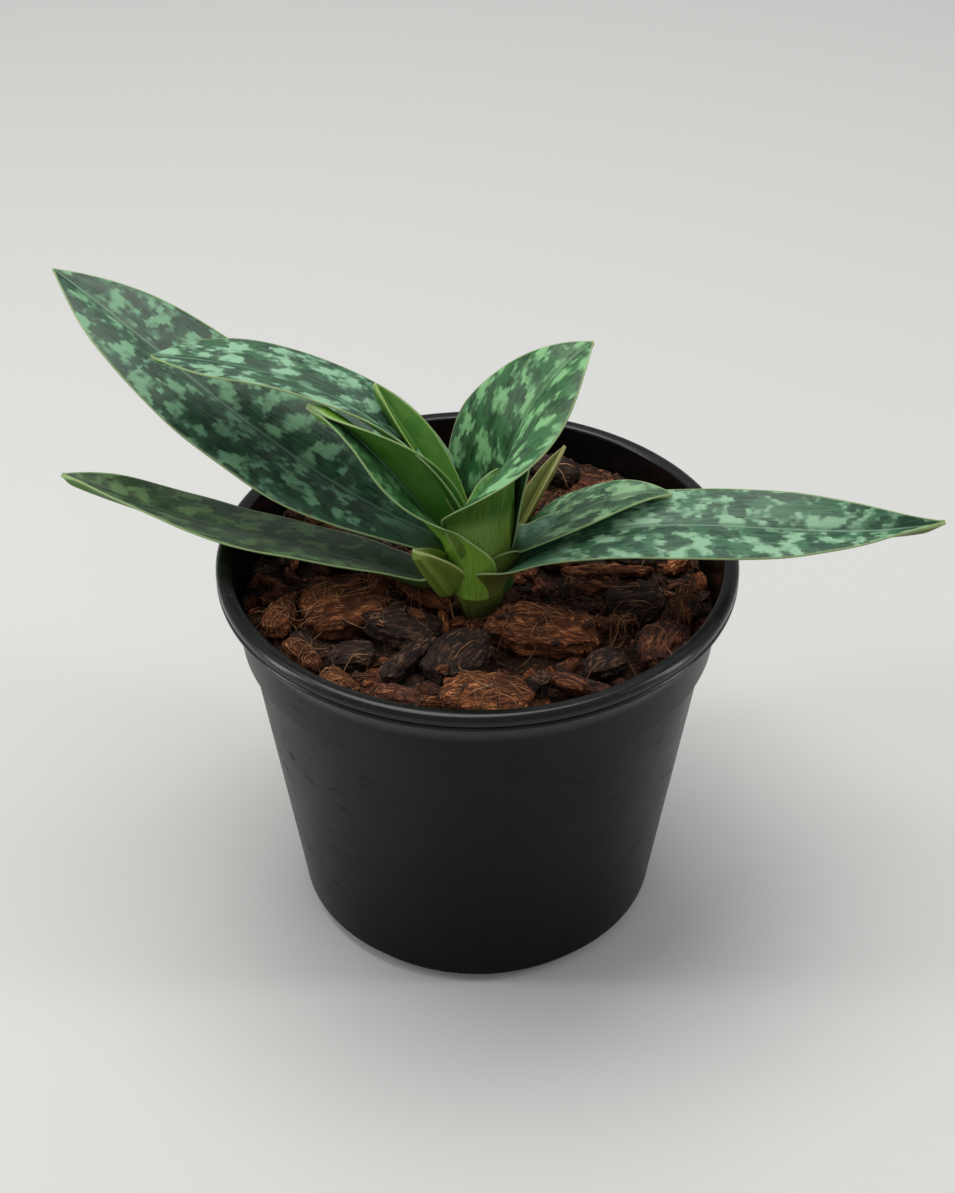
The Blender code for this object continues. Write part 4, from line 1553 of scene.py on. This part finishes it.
class Scatter:
    """Crumbs, small splinters and loose threads that lie on the mix and the chips."""

    ON_CHIPS = 0.08              # share of the crumbs that may lie on a chip
    STEM_CLEARANCE = 7 * MM
    STEM_DEPTH = 0.8             # the kept-clear oval's depth against its width
    DROP = 30 * MM               # height above the mix that things are dropped from
    WALL_STEP = 3 * MM           # how much the pot's wall closes in below the mix's top
    WALL_STEP_DEPTH = 9 * MM
    THREAD_LENGTH = (3, 15)      # shortest and longest, in millimetres
    THREAD_RADIUS = (0.06, 0.17)
    THREAD_LIFT = (0.1, 1.1)
    PATH_STEPS = 9

    def __init__(self, ground: Sequence[bpy.types.Object], radius: float, top: float, stem: Vector) -> None:
        """Join the ground's faces into one tree that rays can be cast on.

        Args:
            ground: objects that things may lie on, the bed of mix first.
            radius: radius of the mix at its top.
            top: height of the mix.
            stem: middle of the stem, which is kept clear.
        """
        points: list[Vector] = []
        faces: list[tuple[int, ...]] = []
        for obj in ground:
            start = len(points)
            points.extend(obj.matrix_world @ vert.co for vert in obj.data.vertices)
            faces.extend(tuple(start + index for index in face.vertices) for face in obj.data.polygons)
        self.bed_faces = len(ground[0].data.polygons)
        self.tree = BVHTree.FromPolygons(points, faces)
        self.radius = radius
        self.top = top
        self.stem = stem

    def land(self, x: float, y: float, bed_only: bool = False) -> tuple[Vector, Vector] | None:
        """Drop onto the ground.

        Args:
            x: place across.
            y: place front to back.
            bed_only: keep off the chips.

        Returns:
            The place and the ground's normal, or None off the ground.
        """
        if math.hypot(x, y) > self.radius:
            return None
        if math.hypot(x - self.stem.x, (y - self.stem.y) / self.STEM_DEPTH) < self.STEM_CLEARANCE:
            return None
        start = Vector((x, y, self.top + self.DROP))
        place, normal, face, _ = self.tree.ray_cast(start, Vector((0, 0, -1)))
        if place is None or (bed_only and face >= self.bed_faces):
            return None
        return place, normal

    def spot(self, dice: random.Random, margin: float, bed_only: bool) -> tuple[Vector, Vector] | None:
        """Pick a random place on the ground, or on the bed only."""
        reach = (self.radius - margin) * math.sqrt(dice.random())
        angle = dice.random() * math.tau
        return self.land(reach * math.cos(angle), reach * math.sin(angle), bed_only)

    def held_in(self, point: Vector) -> Vector:
        """Keep a point inside the pot's wall, which narrows below the top of the mix."""
        closed = ease(0.0, self.WALL_STEP_DEPTH, self.top - point.z)
        limit = self.radius - 0.3 * MM - self.WALL_STEP * closed
        reach = math.hypot(point.x, point.y)
        squeeze = min(1.0, limit / reach) if reach else 1.0
        return Vector((point.x * squeeze, point.y * squeeze, point.z))

    def crumbs(self, name: str, count: int, sizes: tuple[float, float], seed: int,
               look: bpy.types.Material) -> bpy.types.Object:
        """Strew crumbs and splinters of many sizes.

        Args:
            name: the piece's name.
            count: how many are thrown.
            sizes: smallest and largest length in metres.
            seed: seed of the throws.
            look: their material.

        Returns:
            The crumbs as one object.
        """
        dice = random.Random(seed)
        lump = bmesh.new()
        bmesh.ops.create_icosphere(lump, subdivisions=2, radius=1)
        unit = [vert.co.copy() for vert in lump.verts]
        facets = [tuple(vert.index for vert in face.verts) for face in lump.faces]
        lump.free()
        data = MeshData()
        for number in range(count):
            found = self.spot(dice, 1.5 * MM, dice.random() > self.ON_CHIPS)
            size = sizes[0] + (sizes[1] - sizes[0]) * dice.random() ** 2.2
            slender = dice.uniform(0.3, 0.95)
            flat = dice.uniform(0.25, 0.6)
            turn, tip, tint = dice.random() * math.tau, dice.uniform(-0.5, 0.5), dice.uniform(0.35, 1.7)
            if not found:
                continue
            place, normal = found
            along = Vector((math.cos(turn), math.sin(turn), tip)).normalized()
            across = normal.cross(along).normalized()
            upward = along.cross(across)
            shift = Vector((number * 3.7, number * 1.3, 0))
            base = len(data.points)
            for co in unit:
                square = sum(abs(value) ** 3.5 for value in co) ** (-1 / 3.5)
                worn = square * (1 + 0.45 * noise.noise(co * 1.6 + shift))
                half = size / 2
                point = (place + along * (co.x * worn * half) + across * (co.y * worn * half * slender)
                         + upward * ((co.z * worn + 0.35) * half * flat))
                grain = co * (half / MM) + Vector((number * 5.0, 0, 0))
                # painted shade: the lower half of each crumb is darkened
                data.add(self.held_in(point), grain_mm=tuple(grain), tint=tint, hollow=max(0.0, -co.z) * 0.7)
            data.faces.extend(tuple(base + index for index in facet) for facet in facets)
        return settle(data.build(name, look, smooth=False), "mix_brown")

    def threads(self, name: str, count: int, seed: int, look: bpy.types.Material,
                hosts: Sequence[tuple[float, float, float]] = ()) -> bpy.types.Object:
        """Lay thin curved fibres over the ground.

        Args:
            name: the piece's name.
            count: how many are thrown.
            seed: seed of the throws.
            look: their material.
            hosts: (x, y, reach) of chips that shed fibres; half of them lie near one.

        Returns:
            The fibres as one object.
        """
        dice = random.Random(seed)
        data = MeshData()
        for number in range(count):
            turn, bend = dice.random() * math.tau, dice.gauss(0, 0.35)
            length = dice.uniform(*self.THREAD_LENGTH) * MM
            thick = dice.uniform(*self.THREAD_RADIUS) * MM
            tint = dice.uniform(0.5, 1.5)
            lift = dice.uniform(*self.THREAD_LIFT) * MM
            if hosts and number % 3:
                x, y, reach = hosts[dice.randrange(len(hosts))]
                x, y = x + dice.gauss(0, reach * 0.45), y + dice.gauss(0, reach * 0.3)
            else:
                reach = (self.radius - 4 * MM) * math.sqrt(dice.random())
                angle = dice.random() * math.tau
                x, y = reach * math.cos(angle), reach * math.sin(angle)
            path = self.path(x, y, turn, bend, length, lift)
            if len(path) > 3:
                self.tube(data, path, thick, tint, number)
        return settle(data.build(name, look), "coir")

    def path(self, x: float, y: float, turn: float, bend: float, length: float, lift: float) -> list[Vector]:
        """Follow the ground in a curve.

        Args:
            x: start across.
            y: start front to back.
            turn: first direction in plan.
            bend: change of direction over the path in radians.
            length: length of the path.
            lift: height of the middle above the ground.

        Returns:
            The points, fewer where the path leaves the ground.
        """
        steps = self.PATH_STEPS
        points: list[Vector] = []
        for index in range(steps):
            share = index / (steps - 1)
            found = self.land(x, y)
            if not found:
                break
            points.append(Vector((x, y, found[0].z + lift * math.sin(math.pi * share) + 0.08 * MM)))
            heading = turn + bend * share * 3
            x += math.cos(heading) * length / steps
            y += math.sin(heading) * length / steps
        for index in range(1, len(points) - 1):
            points[index].z = max(points[index].z, (points[index - 1].z + points[index + 1].z) / 2)
        return points

    @staticmethod
    def tube(data: MeshData, path: Sequence[Vector], thick: float, tint: float, number: int,
             sides: int = 5) -> None:
        """Add a tube that thins towards both ends.

        Args:
            data: mesh to add to.
            path: the tube's middle.
            thick: radius in metres.
            tint: brightness of its colour.
            number: number that shifts its grain.
            sides: corners of its section.
        """
        rows = []
        for index, point in enumerate(path):
            ahead = path[min(index + 1, len(path) - 1)] - path[max(index - 1, 0)]
            ahead.normalize()
            side = ahead.cross(Vector((0, 0, 1)))
            side = side.normalized() if side.length > 0.05 else Vector((1, 0, 0))
            up = side.cross(ahead)
            share = index / (len(path) - 1)
            radius = thick * (0.45 + 0.55 * math.sin(math.pi * share))
            rows.append([data.add(point + (side * math.cos(math.tau * turn / sides)
                                           + up * math.sin(math.tau * turn / sides)) * radius,
                                  grain_mm=(share * 12.0 + number * 3.0, turn * 0.4, 0.0), tint=tint,
                                  hollow=0.0)
                         for turn in range(sides)])
        for row, after in zip(rows, rows[1:]):
            data.band(row, after)
        data.faces.append(tuple(reversed(rows[0])))
        data.faces.append(tuple(rows[-1]))


def build_root(name: str, source: bpy.types.Object, seed: int, look: bpy.types.Material) -> bpy.types.Object:
    """Build one fleshy root, finer than the CAD's.

    Args:
        name: the CAD node's name.
        source: the CAD object.
        seed: number that sets its irregularities.
        look: the root material.

    Returns:
        The root object.
    """
    obj = fine_copy("fleshy_" + name, source, ROOT_CELL, look)
    fine = obj.data
    middle = sum((vert.co for vert in fine.vertices), Vector()) / len(fine.vertices)
    grains = []
    for vert, normal in [(vert, vert.normal.copy()) for vert in fine.vertices]:
        local = (vert.co - middle) / MM
        grains.append(tuple(local + Vector((seed * 9.1, 0, 0))))
        vert.co += normal * (0.25 * MM * noise.noise(local * 0.4 + Vector((seed, 0, 0))))
    count = len(fine.vertices)
    carry(fine, hollow=[0.0] * count, tint=[1.0] * count,
          grain_mm=[part for value in grains for part in value])
    fine.polygons.foreach_set("use_smooth", [True] * len(fine.polygons))
    return settle(obj, "root_tan", name)


# ------------------------------------------------------------------ the plant's leaves

YOUNG = dict(pale=(0.16, 0.34, 0.05), ground=(0.045, 0.17, 0.012), dark=(0.03, 0.13, 0.01), mottling=0.25,
             under=(0.06, 0.2, 0.012), sheath=(0.2, 0.3, 0.05), rim=(0.3, 0.42, 0.12))
NEW_TIP = dict(pale=(0.3, 0.5, 0.22), ground=(0.1, 0.3, 0.05), dark=(0.03, 0.13, 0.03), mottling=0.8,
               under=(0.2, 0.38, 0.06), sheath=(0.2, 0.3, 0.05), rim=(0.42, 0.52, 0.25), plain_until=2.0)
FRESH = dict(pale=(0.3, 0.4, 0.08), ground=(0.17, 0.27, 0.035), dark=(0.08, 0.15, 0.02), mottling=0.3,
             under=(0.15, 0.24, 0.03), sheath=(0.27, 0.34, 0.06), rim=(0.42, 0.48, 0.18), plain_until=4.0)
OLIVE = dict(pale=(0.2, 0.24, 0.05), ground=(0.12, 0.15, 0.025), dark=(0.07, 0.08, 0.015), mottling=0.3,
             under=(0.12, 0.14, 0.025), sheath=(0.16, 0.17, 0.03), rim=(0.3, 0.28, 0.1), plain_until=4.0)

BLADES = (
    Blade("leaf_youngest", base=(-2.8, -5.2, 21.5), length=44.2, width=11.8, heading=146, sweep=0,
          rise=(65, 50, 56), roll=(0, 0), fold=(58, 40, 40), base_share=0.54, widest=0.56, taper=2.0,
          foot=(-4, -5.5, 14), wrap=120, clasp=7.0, slot="young_leaf",
          skin=MottledSkin("skin_youngest", seed=31.0, **YOUNG)),
    Blade("leaf_new_tip", base=(-0.8, -7.1, 31), length=17, width=8.2, heading=23.8, sweep=0,
          rise=(46, 40.5, 71), roll=(-21, 50), fold=(50, 45, 40), base_share=0.66, widest=0.4, taper=2.2,
          foot=(4.2, -5.8, 18), wrap=110, clasp=7.0, slot="young_leaf",
          skin=MottledSkin("skin_new_tip", seed=32.0, **NEW_TIP)),
    Blade("leaf_upright", base=(7.7, -5.7, 27.2), length=54.4, width=42.7, heading=2.8, sweep=36.3,
          rise=(98.5, 65.7, 11), roll=(-13, 10.5), fold=(81.5, 13, 16), base_share=0.73, widest=0.35,
          taper=1.44, foot=(6.3, -5.7, 12), wrap=125, clasp=11.9, bow=24.0,
          skin=MottledSkin("skin_upright", seed=3.0, ground=(0.022, 0.105, 0.03), pale=(0.19, 0.42, 0.18),
                           dark=(0.004, 0.035, 0.008), under=(0.035, 0.11, 0.01), sheath=(0.19, 0.3, 0.045),
                           plain_until=5.0)),
    Blade("leaf_behind_upright", base=(6.6, -3, 12.6), length=44, width=13.9, heading=55, sweep=0,
          rise=(77.5, 75, 50), roll=(0, 0), fold=(50, 40, 30), base_share=0.52, widest=0.45, taper=2.2,
          foot=(6, -4.5, 10), wrap=120, clasp=8.0,
          skin=MottledSkin("skin_behind_upright", seed=4.0, ground=(0.012, 0.055, 0.012),
                           under=(0.014, 0.06, 0.008), sheath=(0.03, 0.09, 0.014), mottling=0.4)),
    Blade("leaf_arching_left", base=(-3.5, -3.5, 15), length=100, width=24.5, heading=155, sweep=19,
          rise=(86, 25, 1), roll=(16, 6), fold=(52, 19, 4), base_share=0.5, widest=0.7, taper=3.0,
          foot=(-5, -4.5, 10), wrap=110, clasp=7.5,
          skin=MottledSkin("skin_arching_left", seed=5.0, ground=(0.022, 0.09, 0.034),
                           pale=(0.23, 0.43, 0.27))),
    # the folded leaf's bright sheath colour is partly its own yellow-green and partly painted light shining
    # through it
    Blade("leaf_folded_left", base=(-2.6, -6.8, 17.9), length=56, width=21.3, heading=176, sweep=-5,
          rise=(41, 54, 22), roll=(-11.5, -76), fold=(90, 50, 100), base_share=0.56, widest=0.34,
          taper=1.83, foot=(-5.9, -6.7, 14.8), wrap=135, clasp=14.6, join=0.15, opening=0.77, hugging=1.33,
          skin=MottledSkin("skin_folded_left", seed=6.0, ground=(0.02, 0.08, 0.02), pale=(0.1, 0.25, 0.09),
                           mottling=0.9, under=(0.07, 0.22, 0.016), sheath=(0.3, 0.5, 0.06),
                           plain_back=0.85)),
    Blade("leaf_short_right", base=(2.3, -3, 5.1), length=55.3, width=23.6, heading=5.7, sweep=0,
          rise=(57, 31, -11), roll=(-27, 2), fold=(41, 3.8, 22), base_share=0.17, widest=0.46, taper=1.6,
          foot=(6.5, -6, 9.5), wrap=135, clasp=13.0, join=0.28, opening=0.8,
          skin=MottledSkin("skin_short_right", seed=7.0, ground=(0.035, 0.12, 0.045),
                           pale=(0.24, 0.44, 0.22), under=(0.08, 0.14, 0.02), sheath=(0.15, 0.19, 0.03))),
    Blade("leaf_long_right", base=(2.3, -8.6, 9), length=116.5, width=25.3, heading=1.9, sweep=-3,
          rise=(51.5, -2, 17), roll=(-9.4, 26), fold=(31, 2.8, 56), base_share=0.71, widest=0.38, taper=2.3,
          foot=(7.2, -6.2, 11), wrap=125, clasp=13.5, join=0.12, opening=1.16, hugging=1.2,
          skin=MottledSkin("skin_long_right", seed=8.0, ground=(0.035, 0.125, 0.06),
                           pale=(0.25, 0.45, 0.28), dark=(0.009, 0.045, 0.022), under=(0.1, 0.13, 0.02),
                           sheath=(0.14, 0.15, 0.026))),
    # the back-left leaf's darker greens are partly its own deeper tone and partly painted shade where it lies
    # in shadow
    Blade("leaf_back_left", base=(-0.2, -7.4, 19.8), length=131, width=31, heading=160, sweep=-17,
          rise=(5, 25.5, 15), roll=(-16.5, -13), fold=(18.3, 7, 14), base_share=0.26, widest=0.46,
          taper=2.8, foot=(-5.6, -4.5, 9), wrap=105, clasp=8.5, back_swell=0.5,
          skin=MottledSkin("skin_back_left", seed=9.0, ground=(0.012, 0.055, 0.024),
                           pale=(0.14, 0.31, 0.17), dark=(0.003, 0.02, 0.008))),
    Blade("leaf_low_left", base=(-4.6, -8, 6.1), length=105, width=23, heading=167, sweep=-2,
          rise=(19, 6.3, 20), roll=(11.5, 15), fold=(35, 5.8, 36), base_share=0.45, widest=0.51, taper=3.0,
          foot=(-6.4, -5.6, 8.6), wrap=105, clasp=9.5,
          skin=MottledSkin("skin_low_left", seed=10.0, ground=(0.018, 0.055, 0.014),
                           pale=(0.12, 0.22, 0.08), dark=(0.006, 0.022, 0.006), mottling=0.8)),
    Blade("bract_left", base=(-6.2, -10.5, 7.3), length=21.1, width=15.2, heading=210.6, sweep=0,
          rise=(50.5, 62.5, 64), roll=(0, 0), fold=(55, 61, 50), base_share=0.9, widest=0.3, taper=2.0,
          foot=(-6.7, -6.8, 8.8), wrap=120, clasp=12.8, join=0.15, slot="olive_bract", ripple=0.15,
          skin=MottledSkin("skin_bract_left", seed=11.0, **FRESH)),
    Blade("bract_back", base=(5, 0, 8), length=36, width=6.5, heading=53, sweep=0, rise=(44, 40, 28),
          roll=(0, 0), fold=(50, 45, 40), base_share=0.6, widest=0.4, taper=2.2, slot="olive_bract",
          ripple=0.15,
          skin=MottledSkin("skin_bract_back", seed=12.0, **OLIVE)),
)


# ------------------------------------------------------------------ stage

@dataclass
class Studio:
    """Pale floor, soft lights and the camera."""

    camera_place: Triple = (0.0, -0.4731, 0.4490)
    camera_pitch: float = 52.85
    lens: float = 70.97
    sensor: float = 36.0
    floor_reach: float = 3.0
    floor_gap: float = 0.2 * MM
    sky: Colour = (0.93, 0.95, 1.0)
    sky_strength: float = 0.42

    def floor(self, groups: GroupMaker) -> None:
        """Lay the floor under the pot."""
        shape = bmesh.new()
        bmesh.ops.create_grid(shape, x_segments=24, y_segments=24, size=self.floor_reach)
        mesh = bpy.data.meshes.new("floor")
        shape.to_mesh(mesh)
        shape.free()
        mesh.materials.append(PlainFloor().build(groups))
        obj = bpy.data.objects.new("floor", mesh)
        obj.location = (0, 0, -self.floor_gap)
        bpy.context.scene.collection.objects.link(obj)

    @staticmethod
    def light(name: str, place: Triple, aim: Triple, size: tuple[float, float], power: float,
              colour: Colour = (1.0, 1.0, 1.0)) -> None:
        """Hang a rectangular soft light.

        Args:
            name: the light's name.
            place: where it hangs.
            aim: the point it faces.
            size: its width and height.
            power: watts.
            colour: its colour.
        """
        lamp = bpy.data.lights.new(name, 'AREA')
        lamp.shape = 'RECTANGLE'
        lamp.size, lamp.size_y = size
        lamp.energy = power
        lamp.color = colour
        obj = bpy.data.objects.new(name, lamp)
        obj.location = place
        obj.rotation_euler = (Vector(aim) - Vector(place)).to_track_quat('-Z', 'Y').to_euler()
        bpy.context.scene.collection.objects.link(obj)

    def lights(self) -> None:
        """Light the plant softly from above, with a strip at either side."""
        world = bpy.data.worlds.new("soft_room")
        world.use_nodes = True
        sky = world.node_tree.nodes["Background"]
        sky.inputs["Color"].default_value = (*self.sky, 1.0)
        sky.inputs["Strength"].default_value = self.sky_strength
        bpy.context.scene.world = world
        self.light("overhead", (-0.15, 0.15, 1.1), (0, 0, 0.08), (0.9, 0.7), 9.0, (1.0, 0.98, 0.95))
        self.light("strip_left", (-0.75, -0.1, 0.35), (0, 0, 0.06), (0.12, 0.7), 2.2)
        self.light("strip_right", (0.75, -0.1, 0.35), (0, 0, 0.06), (0.12, 0.7), 1.8)

    def camera(self) -> None:
        """Set up the camera."""
        data = bpy.data.cameras.new("camera")
        data.lens = self.lens
        data.sensor_width = self.sensor
        data.sensor_fit = 'AUTO'
        data.clip_start = 0.01
        obj = bpy.data.objects.new("camera", data)
        obj.location = self.camera_place
        obj.rotation_euler = (math.radians(self.camera_pitch), 0, 0)
        bpy.context.scene.collection.objects.link(obj)
        bpy.context.scene.camera = obj

    def build(self, groups: GroupMaker) -> None:
        """Build the stage."""
        self.floor(groups)
        self.lights()
        self.camera()
        bpy.context.scene.view_settings.view_transform = 'Standard'


def main() -> None:
    """Build the potted orchid and its stage."""
    logging.basicConfig(level=logging.INFO, format="%(name)s: %(message)s")
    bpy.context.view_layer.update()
    nodes = frame["nodes"]
    groups = GroupMaker()
    _, pot_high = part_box("nursery_pot")
    NurseryPot(Vector(pot_high)).build(groups)

    mix_high = pot_high[2] - HEADSPACE
    stem_low, stem_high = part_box("stem")
    stem_middle = (Vector(stem_low) + Vector(stem_high)) / 2
    LeafFan(BLADES, mix_high).build(groups)
    Stem(stem_middle, mix_high).build(groups)

    looks = {kind: look.build(groups) for kind, look in PIECE_LOOKS.items()}
    crumb, thread, root = (look.build(groups) for look in (CRUMB_LOOK, THREAD_LOOK, ROOT_LOOK))
    taken = {blade.node for blade in BLADES} | {"nursery_pot", "potting_mix", "stem"}
    roots = sorted(name for name in nodes if name.startswith("root_"))
    for seed, name in enumerate(roots, 1):
        build_root(name, nodes[name], seed, root)
    mix_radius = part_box("potting_mix")[1][0]
    bed = MixBed(nodes["potting_mix"], mix_radius, mix_high).build(crumb)
    chips = Chips(looks)
    chip_names = sorted(set(nodes) - taken - set(roots))
    made = [chips.build(name, nodes[name], seed) for seed, name in enumerate(chip_names, 1)]
    scatter = Scatter([bed] + made, mix_radius, mix_high, stem_middle)
    scatter.crumbs("coarse_crumbs", 230, (2.5 * MM, 8.0 * MM), 11, looks[Grain.BARK])
    scatter.crumbs("reddish_crumbs", 230, (2.5 * MM, 9.0 * MM), 15, looks[Grain.RED_BARK])
    scatter.crumbs("coir_crumbs", 420, (1.5 * MM, 7.0 * MM), 12, looks[Grain.COIR])
    scatter.crumbs("fine_crumbs", 1300, (0.5 * MM, 2.0 * MM), 13, crumb)
    hosts = []
    for name in chip_names:
        if Chips.kind(name) is Grain.COIR:
            low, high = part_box(name)
            hosts.append(((low[0] + high[0]) / 2, (low[1] + high[1]) / 2, (high[0] - low[0]) / 2))
    scatter.threads("loose_threads", 420, 14, thread, hosts)

    Studio().build(groups)


if __name__ == "__main__":
    main()
